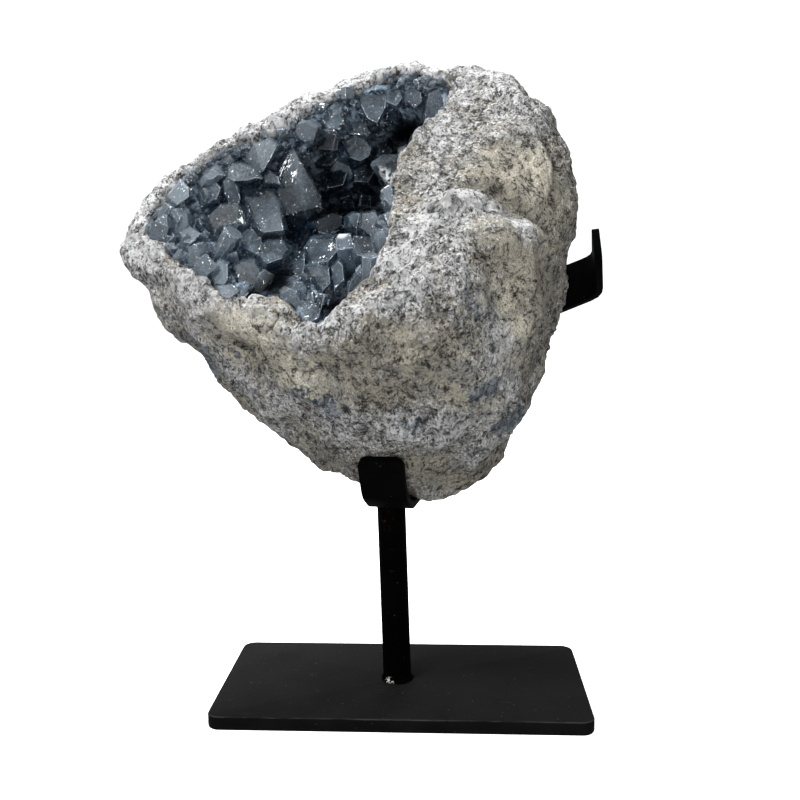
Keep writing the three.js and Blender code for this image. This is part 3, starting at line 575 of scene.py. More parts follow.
# hollow of the geode
mouth = {
    "middle": Vector((-37.6, -4.8, 218)),
    "facing": Vector((-0.2205, -0.7517, 0.6214)).normalized(),
    # rim of the hollow, right and up in the plane of the mouth
    "rim": [
        (-72, -14), (-65, 10), (-49, 28), (-32, 36), (-13, 51), (4, 63), (26, 69),
        (42, 66), (51, 58), (51, 44), (42, 28), (36, 5), (40, -12), (42, -34),
        (33, -51), (18, -69), (6, -53), (-18, -53), (-38, -41), (-60, -27),
    ],
    "centre": (0, 4),
    "steps": 72,
    "ringsBetween": 4,
    "stirSize": 9,
    "heart": (12, 22, 20),  # the crystals point at it: right, up and out
    "seenAt": -5,  # level at which the outlines of crystals and gaps were read
}
# sections by depth under the mouth: depth, size, shift right, shift up
wallSections = [
    (-18, 1.14, 0, 0), (0, 1, 0, 0), (13, 0.97, 2, 2), (27, 0.82, 7, 6),
    (40, 0.6, 12, 11), (50, 0.32, 14, 14), (54, 0.12, 15, 15),
]
openSections = [
    (-10, 1.06, 0, 0), (2, 0.95, 0, 0), (8, 0.8, 5, 5), (20, 0.62, 9, 12),
    (32, 0.42, 12, 18), (42, 0.22, 12, 21), (45, 0.08, 12, 22),
]
bedTop = (1.5, 0.996, 0.2, 0.2)
mouthRight = Vector((0, 0, 1)).cross(mouth["facing"]).normalized()
mouthUp = mouth["facing"].cross(mouthRight)


def fromMouth(right, up, out):
    return mouth["middle"] + mouthRight * right + mouthUp * up + mouth["facing"] * out


def rimPlaces(inset):
    rim = [Vector(place) for place in mouth["rim"]]
    count = len(rim)
    ring = []
    for step in range(mouth["steps"]):
        share = step / mouth["steps"] * count
        i, t = int(share), share % 1
        a, b, c, d = (rim[(i + k) % count] for k in (-1, 0, 1, 2))
        bend, twist = 2 * a - 5 * b + 4 * c - d, 3 * b - a - 3 * c + d
        place = (2 * b + (c - a) * t + bend * t * t + twist * t**3) / 2
        along = ((c - a) + 2 * bend * t + 3 * twist * t * t).normalized()
        ring.append((place.x + along.y * inset, place.y - along.x * inset))
    return ring


def sectionPlace(section, right, up):
    depth, size, moreRight, moreUp = section
    x, y = mouth["centre"]
    return fromMouth(x + (right - x) * size + moreRight, y + (up - y) * size + moreUp, -depth)


def betweenSections(sections, level):
    i = min(int(level), len(sections) - 2)
    return tuple(a + (b - a) * (level - i) for a, b in zip(sections[i], sections[i + 1]))


def hollowBlock(sections, inset, roughness=0):
    levels = np.linspace(0, len(sections) - 1, mouth["ringsBetween"] * (len(sections) - 1) + 1)
    rings = []
    for level in levels:
        places = [sectionPlace(betweenSections(sections, level), *spot) for spot in rimPlaces(inset)]
        rings.append([place + noise.noise_vector(place / mouth["stirSize"]) * roughness for place in places])
    return loft(rings)


# dark gaps between the crystals, as the front view shows them, where bed and crystals get painted shade:
# right, up, reach, darkness
shadedPockets = [
    (33, 40, 10, 1), (28, 31, 7, 0.9), (-6, 33, 6, 0.7), (-2, 19, 7, 0.6), (8, 6, 6, 0.6), (24, 10, 8, 0.6),
    (27, 22, 7, 0.6), (10, -2, 5, 0.9), (-5, -40, 8, 1), (-14, -47, 6, 1), (24, -53, 7, 1),
]


def within(right, up, outline):
    inside = False
    for (ax, ay), (bx, by) in zip(outline, outline[1:] + outline[:1]):
        if (ay > up) != (by > up) and right < (bx - ax) * (up - ay) / (by - ay) + ax:
            inside = not inside
    return inside


def seenSpots(points):  # right and up at which the front view shows each place
    away = np.asarray(points, float) - np.array(mouth["middle"])
    facing = np.array(mouth["facing"])
    toEye = np.array(view["place"]) - np.asarray(points, float)
    away = away + toEye * ((mouth["seenAt"] - away @ facing) / (toEye @ facing))[:, None]
    return away @ np.array(mouthRight), away @ np.array(mouthUp)


def pocketShadeAt(points):  # darkness of the painted shade in the gap that lies before each place
    right, up = seenSpots(points)
    gaps = [(((right - x) ** 2 + (up - y) ** 2) / reach**2, amount) for x, y, reach, amount in shadedPockets]
    return np.max([amount * np.exp(-(away**2)) for away, amount in gaps], axis=0)


# bed that the crystals stand in
bedShape = {
    "grid": 1.3,
    "inset": (-0.7, 1.0),  # towards the stone and towards the open
    "stir": 2.4,
    "swell": (6, 0.9),  # size and rise
    "knobs": (4, 1.1),
}


def crystalBed():
    outer, inner = bedShape["inset"]
    bed = hung("celestite_bed", meshOf("bed", hollowBlock([bedTop, *wallSections[2:]], outer)))
    joinSolids(bed, [meshOf("open", hollowBlock(openSections, inner, bedShape["stir"]))], "DIFFERENCE")
    regrid(bed, bedShape["grid"])
    settle(bed)
    mesh = bed.data
    points = pointsOf(mesh)
    swellSize, swell = bedShape["swell"]
    knobSize, knob = bedShape["knobs"]
    rise = []
    for place in map(Vector, points):
        gap = noise.voronoi(place / knobSize)[0][0]
        rise.append(swell * noise.noise(place / swellSize) + knob * (0.5 - gap))
    points += outwardOf(mesh) * np.array(rise)[:, None]
    movePoints(mesh, points)
    # painted shade for the dark gaps
    paint(mesh, "pocketShade", pocketShadeAt(points))
    print("crystal bed", len(mesh.polygons), "faces")
    return bed


# crystals
# ways a crystal is cut: share of the flat top along width and depth, slopes of the shoulders, corner share
habits = {
    "block": {"top": (0.66, 0.7), "slope": (0.9, 1.3), "corner": 0.9},
    "cube": {"top": (0.92, 0.94), "slope": (0.9, 1.0), "corner": 0.97},
    "wedge": {"top": (0.1, 0.9), "slope": (0.95, 2.2), "corner": 0.92},
    "peak": {"top": (0.12, 0.2), "slope": (0.75, 0.95), "corner": 0.85},
    "hex": {"top": (0.8, 0.8), "slope": (1.5, 1.5), "corner": 0.45},
}
# large crystals: corners of the outline as the photograph shows it (right, up), level of the widest edge out
# of the mouth, rise of the top over it, share of the outline that the top keeps or its own corners, slope of
# the top, milkiness
largeCrystals = [
    ([(-20, 36), (-14, 31), (2, 5), (3, 0), (-1, -6), (-12, -4), (-19, 5), (-22, 18), (-23, 28)],
     -6, 5, [(-17, 32), (-3, -2)], (0, 0), 0.32),  # big clear
    ([(-37, 12), (-28, 13), (-20, 11), (-8, -13), (-9, -17), (-19, -16), (-28, -9), (-34, 2)],
     -6, 3.2, [(-27, 9), (-21, 10), (-10, -13), (-19, -14), (-25, -6)], (0, 0), 0.3),  # blocky
    ([(-39, 40), (-32, 43), (-25, 37), (-26, 30), (-30, 21), (-40, 27), (-41, 32)],
     -2, 2.6, 0.86, (0, 0.2), 0.6),  # flat upper
    ([(-50, 25), (-48, 29), (-43, 29), (-33, 24), (-29, 17), (-34, 15), (-43, 15), (-48, 18)],
     -3, 2.6, 0.74, (0, 0), 0.3),  # greenish
    ([(-32, 21), (-28, 23), (-20, 17), (-17, 11), (-28, 13)], -5, 2.6, 0.62, (0.1, 0), 0.5),
    ([(-71, 19), (-64, 13), (-62, 8), (-67, 3), (-74, 9), (-73, 12)],
     2.5, 2, 0.88, (0.2, 0.1), 0.85),  # small cube
    ([(-61, 17), (-60, 23), (-58, 29), (-52, 25), (-48, 20), (-52, 15), (-58, 14)],
     -0.5, 3.2, 0.4, (0, 0), 0.5),  # peaked
    ([(-59, 9), (-59, 16), (-52, 18), (-46, 12), (-46, 4), (-54, 2)], -3.5, 2.6, 0.74, (0.2, 0), 0.45),
    ([(-50, 19), (-45, 22), (-39, 14), (-36, 5), (-41, 2), (-46, 10)], -4.5, 2.6, 0.74, (-0.1, 0.2), 0.5),
    ([(-61, -13), (-57, -9), (-49, -14), (-52, -20), (-56, -19)], -1, 2.6, 0.88, (0, 0), 0.9),  # pale cube
    ([(-51, -3), (-46, 4), (-36, 5), (-28, -9), (-29, -18), (-39, -19), (-48, -12)],
     -8, 3, 0.84, (-0.1, 0.1), 0.3),  # olive
    ([(-30, -18), (-26, -11), (-19, -16), (-16, -26), (-19, -28), (-26, -24)],
     -7, 2.6, 0.8, (0, 0.1), 0.75),  # hexagon, left
    ([(-19, -20), (-16, -17), (-8, -17), (-3, -24), (-5, -30), (-12, -33), (-18, -28)],
     -7, 3.2, 0.8, (0, 0), 0.7),  # right
    ([(-29, -30), (-26, -27), (-19, -27), (-13, -34), (-12, -41), (-17, -45), (-22, -43), (-27, -37)],
     -6, 2.6, 0.8, (0, 0), 0.05),
    ([(-38, -34), (-35, -28), (-30, -30), (-27, -39), (-28, -42), (-33, -41)],
     -1.5, 2.6, 0.86, (0, 0.1), 0.75),
    ([(-54, -21), (-48, -18), (-42, -24), (-42, -30), (-49, -28)], -1.5, 2.6, 0.8, (0, 0), 0.55),
    ([(-33, -42), (-25, -41), (-20, -45), (-23, -49), (-28, -49)], -0.5, 2.6, 0.8, (0, 0), 0.7),
    ([(-4, -44), (-2, -42), (1, -42), (3, -46), (1, -49), (-2, -48)], -4, 1.6, 0.8, (0, 0), 0.95),
    ([(-2, -30), (0, -25), (3, -24), (5, -30), (6, -37), (3, -39), (0, -36)], -9, 2.6, 0.74, (0.1, 0), 0.6),
    ([(2, -24), (4, -17), (14, -17), (18, -25), (15, -31), (7, -32)],
     -8, 3, 0.8, (0, 0), 0.7),  # round cluster
    ([(5, -32), (10, -30), (16, -33), (19, -42), (16, -45), (8, -40)], -7, 3, 0.8, (0, 0.1), 0.6),
    ([(16, -32), (19, -28), (22, -31), (25, -40), (21, -44), (18, -38)], -8, 2.6, 0.76, (0.2, 0), 0.65),
    ([(15, -19), (16, -16), (21, -16), (24, -23), (17, -24)], -4, 1.6, 0.9, (0, 0.1), 1),  # facet that carries a painted reflection
    ([(16, -7), (19, -4), (23, -5), (24, -17), (18, -12)], -9, 2.6, 0.62, (0, 0), 0.5),
    ([(23, -5), (29, -4), (34, -10), (36, -18), (30, -19), (24, -14)], -7, 2.6, 0.82, (0.1, 0), 0.7),
    ([(23, -17), (31, -20), (37, -19), (37, -26), (32, -30), (26, -29), (23, -24)],
     -5, 2, 0.8, (0, 0), 0.7),
    ([(0, -9), (9, -4), (15, -6), (17, -12), (12, -17), (5, -16)],
     -13, 2.6, 0.8, (0, 0), 0.1),  # brownish, low
    ([(26, -48), (26, -40), (28, -35), (30, -31), (33, -37), (32, -45), (29, -49)],
     -7, 2.6, 0.62, (-0.2, 0), 0.5),
    ([(8, -51), (11, -49), (15, -51), (19, -55), (19, -59), (15, -62), (11, -61), (9, -57)],
     -4, 2.6, 0.8, (0, 0), 0.6),  # in the tip
    ([(-10, 53), (-9, 59), (-1, 61), (3, 51), (1, 45), (-4, 45)],
     -6, 2.6, 0.86, (0, 0), 0.85),  # upper wall
    ([(3, 44), (7, 50), (13, 48), (18, 40), (16, 38), (9, 40), (5, 40)], -11, 2.6, 0.74, (0, 0), 0.6),
    ([(3, 38), (9, 42), (15, 39), (20, 33), (20, 27), (16, 24), (10, 27), (7, 32)],
     -12, 3.2, 0.84, (0, 0.1), 0.6),
    ([(4, 71), (11, 73), (19, 68), (21, 57), (19, 46), (13, 50), (7, 60)], -5, 2.6, 0.86, (0, 0), 0.65),
    ([(17, 69), (24, 71), (28, 61), (26, 55), (20, 59)], -4, 2.6, 0.8, (0, 0), 0.75),
    ([(26, 67), (29, 70), (35, 66), (37, 58), (34, 54), (29, 59)], -4, 2.6, 0.8, (0, 0), 0.8),
    ([(38, 65), (43, 68), (48, 62), (48, 52), (43, 41), (39, 48), (39, 57)], -4, 2.6, 0.74, (-0.2, 0), 0.7),
    ([(-22, 48), (-21, 55), (-15, 57), (-10, 53), (-9, 45), (-15, 42)], -6, 2.6, 0.8, (0, 0), 0.8),
    ([(-8, 31), (-4, 35), (2, 33), (6, 27), (3, 21), (-4, 22)],
     -17, 2.6, 0.8, (0, 0), 0.35),  # behind, in the dark
    ([(-1, 18), (6, 22), (12, 18), (12, 10), (4, 8)], -20, 2.6, 0.8, (0, 0), 0.45),
    ([(13, 20), (19, 24), (25, 18), (23, 11), (15, 12)], -20, 2.6, 0.8, (0, 0), 0.4),
    ([(21, 34), (26, 37), (30, 30), (27, 25), (22, 27)], -17, 2.6, 0.8, (0, 0), 0.5),
    ([(-13, 42), (-9, 44), (-5, 41), (-7, 35), (-13, 36)], -11, 2, 0.8, (0, 0), 0.7),
    ([(-8, 43), (-2, 45), (2, 42), (1, 36), (-3, 36)], -14, 2.6, 0.74, (0, 0), 0.5),
    ([(29, 7), (32, 10), (37, 4), (35, -2), (31, 2)], 3, 1.6, 0.86, (-0.1, 0), 1),  # white facet on the lip
    ([(33, -6), (36, -4), (40, -6), (38, -10), (35, -10)], 2, 1.6, 0.8, (0, 0), 0.8),
    ([(31, 18), (34, 24), (38, 16), (34, 10)], 1, 1.6, 0.74, (0, 0), 0.6),
    ([(31, 31), (35, 33), (37, 26), (34, 23)], 1, 1.6, 0.74, (0, 0), 0.6),
]
growth = {
    "seed": 41,
    "root": 4,
    "rootShare": 0.82,
    "rootRange": (2, 60),
    "rootWay": (0.8, -0.5, -0.3),  # roots grow away from the heart, away from the eye and into the mouth
    "ragged": 0.5,  # how far corners stray from their level
    "edge": 0.2,
    "flat": 0.02,
    "thin": 0.28,  # faces thinner than this are the eased edges, painted lighter as edge highlights
    "spread": 1.07,  # neighbours grow into one another
    "tilt": 0.2,
    "offset": 0.1,
    "shadeWay": Vector((7.3, 3.1, 5.7)),  # spreads the directions of faces over the shades of painted facet light
    "shades": 2.3,
    "rimInset": 0.6,
    "roomInset": -0.5,
}
# crystals of the wall and crumbs at its rim
smallCrystals = {
    "kinds": [(520, (3, 12), (0.9, 5.2)), (220, (2, 4.6), (0.72, 1.25))],  # most, widths, sections
    "tries": 12,  # for each crystal
    "towardTop": 1.25,
    "mostlySmall": 1.6,
    "atRim": 0.45,  # width at the rim, growing to full at the depth below
    "fullDepth": 14,
    "root": 3,
    "foot": 2,
    "edge": 0.1,
    "apart": 0.36,  # share of the width that two neighbours keep
    "behind": 14,  # how far behind a large crystal they may grow
    "shy": 1.6,  # how far they keep out of the dark gaps
    "lean": (0.5, 0.9, 0.35),  # stray, its weight, and the pull out of the mouth
    "deep": (0.7, 1),
    "high": (0.75, 1.25),
    "least": 1,  # added to every height
    "milk": (0.1, 0.7),
    "cuts": ("block", "block", "cube", "wedge", "hex", "peak"),
    "taper": 0.82,
    "skew": 0.13,
    "turn": 0.12,
    "slope": 0.1,
    "cornerMost": 0.98,
    "cornerWay": (0.6, 0.9),
    "chipped": 0.5,  # share with a corner broken off
    "chipAt": (0.28, 0.95),
    "chipSlope": (0.7, 1.4),
}


def cutAway(block, place, facing):
    parts = block.verts[:] + block.edges[:] + block.faces[:]
    cut = bmesh.ops.bisect_plane(block, geom=parts, plane_co=place, plane_no=facing, clear_outer=True)
    edges = [part for part in cut["geom_cut"] if isinstance(part, bmesh.types.BMEdge)]
    if len(edges) > 2:
        bmesh.ops.contextual_create(block, geom=edges)


def crystalBlock(size, habit, chance):
    width, depth, height = size
    shape = habits[habit]
    taper, skew, turn, tip = (smallCrystals[key] for key in ("taper", "skew", "turn", "slope"))
    block = bmesh.new()
    bmesh.ops.create_cube(block, size=1)
    for corner in block.verts:
        wide = taper if corner.co.z < 0 else 1
        up = height if corner.co.z > 0 else -smallCrystals["foot"]
        corner.co = Vector((corner.co.x * width * wide, corner.co.y * depth * wide, up))
    for side in (-1, 1):
        share = shape["top"][0] + chance.uniform(-skew, skew)
        facing = Vector((side, chance.uniform(-turn, turn), shape["slope"][0] + chance.uniform(-tip, tip)))
        cutAway(block, Vector((side * share * width / 2, 0, height)), facing)
        share = shape["top"][1] + chance.uniform(-skew, skew)
        facing = Vector((chance.uniform(-turn, turn), side, shape["slope"][1] + chance.uniform(-tip, tip)))
        cutAway(block, Vector((0, side * share * depth / 2, height)), facing)
        for other in (-1, 1):
            share = min(smallCrystals["cornerMost"], shape["corner"] + chance.uniform(-skew, skew))
            facing = Vector((side, other * chance.uniform(*smallCrystals["cornerWay"]), 0))
            cutAway(block, Vector((side * share * width / 2, other * depth / 2, 0)), facing)
    chipSlope = smallCrystals["chipSlope"]
    chip = Vector((chance.choice((-1, 1)), chance.choice((-1, 1)), chance.uniform(*chipSlope)))
    if chance.random() < smallCrystals["chipped"]:
        across, high = smallCrystals["chipAt"]
        cutAway(block, Vector((chip.x * width * across, chip.y * depth * across, height * high)), chip)
    return easeEdges(block, smallCrystals["edge"])


def easeEdges(block, edge):
    bmesh.ops.bevel(block, geom=block.edges[:], offset=edge, segments=1, affect="EDGES", clamp_overlap=True)
    bmesh.ops.recalc_face_normals(block, faces=block.faces)
    return block


def standCrystal(block, foot, way, turn):
    stand = Vector((0, 0, 1)).rotation_difference(way).to_matrix().to_4x4()
    block.transform(Matrix.Translation(foot) @ stand @ Matrix.Rotation(turn, 4, "Z"))


def seenPlace(right, up, out):  # a place that stays where the front view shows it, however deep it lies
    place = fromMouth(right, up, mouth["seenAt"])
    toEye = Vector(view["place"]) - place
    return place + toEye * (out - mouth["seenAt"]) / toEye.dot(mouth["facing"])


def inOpen(place):  # whether a place is in the open space of the hollow
    away = place - mouth["middle"]
    depth = -away.dot(mouth["facing"])
    depths = [section[0] for section in openSections]
    if depth >= depths[-1]:
        return False
    level = float(np.interp(depth, depths, range(len(depths))))
    _, size, moreRight, moreUp = betweenSections(openSections, level)
    x, y = mouth["centre"]
    at = ((away.dot(mouthRight) - moreRight - x) / size + x, (away.dot(mouthUp) - moreUp - y) / size + y)
    return within(*at, mouth["rim"])


def awayFromHeart(place):
    right, up, out = mouth["heart"]
    depth = -(place - mouth["middle"]).dot(mouth["facing"])
    return (place - fromMouth(right, up, out - depth)).normalized()


def largeCrystal(outline, out, rise, top, slope, chance):
    middle = sum((Vector(corner) for corner in outline), Vector((0, 0))) / len(outline)
    foot = seenPlace(*middle, out)
    toEye = (seenPlace(*middle, out + 1) - foot).normalized()
    fromHeart, towardEye, outward = growth["rootWay"]
    down = (awayFromHeart(foot) * fromHeart + toEye * towardEye + mouth["facing"] * outward).normalized()
    deep, deepest = growth["rootRange"]
    while inOpen(foot + down * deep) and deep < deepest:
        deep += 1
    block = bmesh.new()
    ragged = growth["ragged"]
    for corner in outline:
        corner = middle + (Vector(corner) - middle) * growth["spread"]
        edge = seenPlace(*corner, out + chance.uniform(-ragged, ragged))
        block.verts.new(edge)
        block.verts.new(foot + (edge - foot) * growth["rootShare"] + down * (deep + growth["root"]))
    tilt, offset = growth["tilt"], growth["offset"]
    slope = Vector(slope) + Vector((chance.uniform(-tilt, tilt), chance.uniform(-tilt, tilt)))
    wide = max((Vector(corner) - middle).length for corner in outline)
    shift = Vector((chance.uniform(-offset, offset), chance.uniform(-offset, offset))) * wide
    if not isinstance(top, list):
        top = [middle + (Vector(corner) - middle) * top + shift for corner in outline]
    for corner in top:
        block.verts.new(seenPlace(*corner, out + rise + (Vector(corner) - middle).dot(slope)))
    hull = bmesh.ops.convex_hull(block, input=block.verts[:])
    loose = [part for part in hull["geom_interior"] if isinstance(part, bmesh.types.BMVert)]
    bmesh.ops.delete(block, geom=loose)
    bmesh.ops.dissolve_limit(block, angle_limit=growth["flat"], verts=block.verts, edges=block.edges)
    return easeEdges(block, growth["edge"]), foot, wide


def hidesLarge(foot, tip):  # whether a small crystal would stand before a large one
    out = (foot - mouth["middle"]).dot(mouth["facing"])
    spots = list(zip(*seenSpots([foot, tip])))
    for outline, level, *_ in largeCrystals:
        if out > level - smallCrystals["behind"] and any(within(*spot, outline) for spot in spots):
            return True
    return False


def smallCrystal(chance, widths, sections, rim, taken):  # nothing where there is no room for it
    low, high = widths
    top, deepest = sections
    level = top + (deepest - top) * chance.random() ** smallCrystals["towardTop"]
    section = betweenSections(openSections, level)
    place = sectionPlace(section, *rim[chance.randrange(len(rim))])
    grown = min(1, smallCrystals["atRim"] + max(0, section[0]) / smallCrystals["fullDepth"])
    width = low + (high - low) * chance.random() ** smallCrystals["mostlySmall"] * grown
    if any((place - other).length < smallCrystals["apart"] * (width + wide) for other, wide in taken):
        return None
    inward = -awayFromHeart(place)
    tip = place + inward * width
    if chance.random() < smallCrystals["shy"] * max(pocketShadeAt([place, tip])) or hidesLarge(place, tip):
        return None
    most, weight, outward = smallCrystals["lean"]
    stray = Vector([chance.uniform(-most, most) for _ in range(3)])
    way = (inward + stray * weight + mouth["facing"] * outward).normalized()
    root = smallCrystals["root"]
    depth, height = (width * chance.uniform(*smallCrystals[key]) for key in ("deep", "high"))
    size = (width, depth, height + smallCrystals["least"] + root)
    block = crystalBlock(size, chance.choice(smallCrystals["cuts"]), chance)
    standCrystal(block, place - inward * root, way, chance.uniform(0, math.pi))
    taken.append((place, width))
    return block, chance.uniform(*smallCrystals["milk"])


def grownCrystals():
    chance = random.Random(growth["seed"])
    solids = []
    taken = []
    for *cut, tone in largeCrystals:
        block, foot, wide = largeCrystal(*cut, chance)
        solids.append((block, tone))
        taken.append((foot, wide))
    rim = rimPlaces(growth["rimInset"])
    for most, widths, sections in smallCrystals["kinds"]:
        full = len(solids) + most
        for _ in range(smallCrystals["tries"] * most):
            grown = smallCrystal(chance, widths, sections, rim, taken)
            if grown:
                solids.append(grown)
            if len(solids) == full:
                break
    meshes = []
    for block, tone in solids:
        meshes.append(meshOf("crystal", block))
        paint(meshes[-1], "tone", [tone] * len(meshes[-1].polygons), "FACE")
    crystals = hung("celestite_crystals", meshes[0])
    joinSolids(crystals, meshes[1:], "UNION")
    room = hollowBlock(wallSections, growth["roomInset"])  # nothing grows into the stone
    joinSolids(crystals, [meshOf("room", room)], "INTERSECT")
    dropDoubles(crystals)
    paintFaces(crystals.data)
    # painted shade of the dark gaps, on the crystals
    paint(crystals.data, "pocketShade", pocketShadeAt(pointsOf(crystals.data)))
    print("crystals", len(solids), "joined in", len(crystals.data.polygons), "faces")
    return crystals


def paintFaces(mesh):  # which faces are the eased edges, painted light as edge highlights, and one painted brightness for faces of one direction
    corners = [corner.co for corner in mesh.vertices]
    thin = []
    for face in mesh.polygons:
        ring = [corners[i] for i in face.vertices]
        rimLength = sum((a - b).length for a, b in zip(ring, ring[1:] + ring[:1]))
        thin.append(2 * face.area / rimLength < growth["thin"] * mm)
    paint(mesh, "edge", thin, "FACE")
    # painted facet light: faces of one direction share one brightness
    shades = [face.normal.dot(growth["shadeWay"]) * growth["shades"] % 1 for face in mesh.polygons]
    paint(mesh, "cut", shades, "FACE")


# brown dust and olive grit in the gaps: right, up and out of the mouth, reach, amount
dustyPlaces = [((-2, -12, -4), 6, 1), ((-32, -20, -5), 7, 0.9), ((-38, -8, -5), 8, 0.75)]
# painted reflections: ragged bright patches on faces
reflectionPatches = [
    ((-20, 25, -2), 7), ((-14, 18, -1), 4), ((-28, 10, -3), 3), ((0, -18, -4), 6), ((14, -22, -4), 4),
    ((-58, 2, -3), 3), ((-42, -32, -4), 2.5), ((2, -50, -3), 4), ((-17, 52, -4), 4), ((31, 49, -5), 4),
    ((-41, 12, -5), 3), ((12, 62, -6), 4),
]
# white crystal on the lip, and a painted reflection on the facet low in the hollow
whiteLip = ((33, 4, 3), 8)
reflectionFacet = ((19, -18, -2), 4.5)
crystalGlass = {
    "ior": 1.62,
    "clear": (0.93, 0.96, 1),
    "shadedGap": (0.12, 0.15, 0.2),  # clear crystal under painted shade in a dark gap
    "depth": (0.3, 0.5, 0.66),  # what is left of light on its way through
    "density": 70,
    "milk": 0.54,
    "darkMilk": (0.055, 0.082, 0.11),
    "paleMilk": (0.225, 0.295, 0.36),
    # painted highlight on the thin edge faces
    "rim": (0.4, 0.455, 0.5),
    "wearAndEdgeLight": (0.46, 0.52, 0.58),
    # frost, also used for the painted reflection on the facet low in the hollow
    "frost": (0.85, 0.87, 0.88),
    "dust": (0.25, 0.2, 0.13),
    "spark": (0.95, 0.97, 1),
}


def crystalFinish():
    celestite = Finish("celestite")
    glass = crystalGlass
    out = celestite.along(mouth["facing"]) - mouth["middle"].dot(mouth["facing"])
    veil = celestite.step(celestite.clouds(9, 2, 0.5), 0.3, 0.7)
    fine = celestite.clouds(1.6, 4, 0.65)
    tone = celestite.painted("tone")
    # cut: painted facet light, one brightness for faces of one direction
    cut = celestite.painted("cut")
    edgeHighlight = celestite.painted("edge")
    # lit is 1 less the painted gap shade: it dims milk, edges and sparks
    lit = 1 - celestite.painted("pocketShade")
    (white, whiteReach), (reflectionPlace, reflectionReach) = whiteLip, reflectionFacet
    # frost on the white lip crystal, and a painted reflection on the facet low in the hollow
    frostAndReflection = celestite.near(fromMouth(*white), whiteReach) * celestite.step(fine, 0.4, 0.5)
    frostAndReflection = frostAndReflection + celestite.near(fromMouth(*reflectionPlace), reflectionReach) * 0.75
    milk = (veil * 0.3 + 0.14) * (0.12 + tone * 1.4)
    # less milk deeper in the hollow: painted shade, the crystals darker towards the back
    milk = milk * (0.25 + celestite.step(out, -34, -10) * 0.75) * (0.8 + cut * 0.5) * glass["milk"]
    rimFrost = celestite.step(out + (fine - 0.5) * 8, -7, 3)
    milk = milk.orMore(rimFrost * 0.3) * lit
    dust = sum(celestite.near(seenPlace(*place), reach) * amount for place, reach, amount in dustyPlaces)
    dust = celestite.step(dust + (fine - 0.5) * 2.4, 0.75, 1.1)
    # sparks, all painted highlights: glints on the thin edge faces, bright dots, and painted reflections on
    # ragged patches
    glints = celestite.clouds(1.7, 3, 0.6) + (celestite.clouds(8, 2) - 0.5) * 0.3
    glints = celestite.step(glints, 0.61, 0.63) * edgeHighlight
    spark = celestite.step(celestite.clouds(1.0, 2, 0.6) + (celestite.clouds(7, 2) - 0.5) * 0.6, 0.74, 0.76)
    # painted reflections on ragged patches of faces
    reflectionPatch = sum(celestite.near(seenPlace(*place), reach) for place, reach in reflectionPatches)
    reflectionPatch = celestite.step(reflectionPatch * 0.12 + celestite.clouds(1.9, 4, 0.72, (1.8, 1.8, 0.5), 0.8), 0.655, 0.69)
    spark = (spark.orMore(glints) * lit).orMore(reflectionPatch)
    steps = celestite.clouds(4.5, 2, 0.5, (1, 0.3, 1))
    normal = celestite.bump(steps + fine * 0.12, 0.3, 0.6)
    # clear crystal darkened by painted shade in the gaps
    clearColour = celestite.mix(lit, glass["shadedGap"], glass["clear"])
    sockets = {"Base Color": clearColour, "Roughness": 0.05, "IOR": glass["ior"], "Transmission Weight": 1.0}
    clear = celestite.surface({**sockets, "Normal": normal})
    body = celestite.mix(veil * 0.2 + tone * 0.4 + cut * 0.45, glass["darkMilk"], glass["paleMilk"])
    # the thin edge faces get a painted highlight, sparks painted glints
    for amount, colour in (
        (rimFrost * 0.6, glass["rim"]),
        (edgeHighlight * 0.7, glass["wearAndEdgeLight"]),
        (frostAndReflection, glass["frost"]),
        (dust * 0.7, glass["dust"]),
        (spark, glass["spark"]),
    ):
        body = celestite.mix(amount, body, colour)
    milky = celestite.surface({"Base Color": body, "Roughness": 0.09, "IOR": glass["ior"], "Normal": normal})
    amount = milk.orMore(frostAndReflection).orMore(dust * 0.8).orMore(edgeHighlight * lit * 0.5).orMore(spark)
    both = celestite.node("ShaderNodeMixShader", {}, {0: amount, 1: clear, 2: milky})
    sockets = {"Color": glass["depth"], "Density": glass["density"]}
    return celestite.done(both, celestite.node("ShaderNodeVolumeAbsorption", {}, sockets))


bedColours = {
    "deep": (0.02, 0.03, 0.042),
    "pale": (0.2, 0.25, 0.3),
    "spark": (0.6, 0.64, 0.7),
    "dust": (0.22, 0.18, 0.12),
    # near black: painted shade in the gaps
    "gap": (0.001, 0.0014, 0.002),
}


def bedFinish():
    bed = Finish("celestite_bed")
    tint = bedColours
    mottle = bed.clouds(3.2, 4, 0.65)
    gap = bed.painted("pocketShade")
    colour = bed.mix(bed.step(mottle, 0.38, 0.62), tint["deep"], tint["pale"])
    colour = bed.mix(bed.step(bed.clouds(0.9, 2, 0.6), 0.66, 0.7), colour, tint["spark"])
    dust = sum(bed.near(seenPlace(*place), reach * 1.4) * amount for place, reach, amount in dustyPlaces)
    colour = bed.mix(bed.step(dust + (mottle - 0.5) * 2, 0.6, 1.2) * 0.6, colour, tint["dust"])
    # painted shade: the bed goes near black in the gaps between crystals
    colour = bed.mix(gap, colour, tint["gap"])
    normal = bed.bump(bed.grains(1.9) + mottle * 0.5, 1.0, 0.9)
    sockets = {"Base Color": colour, "Roughness": 0.3 + gap * 0.6, "Normal": normal}
    return bed.done(bed.surface({**sockets, "Specular IOR Level": 0.12}))


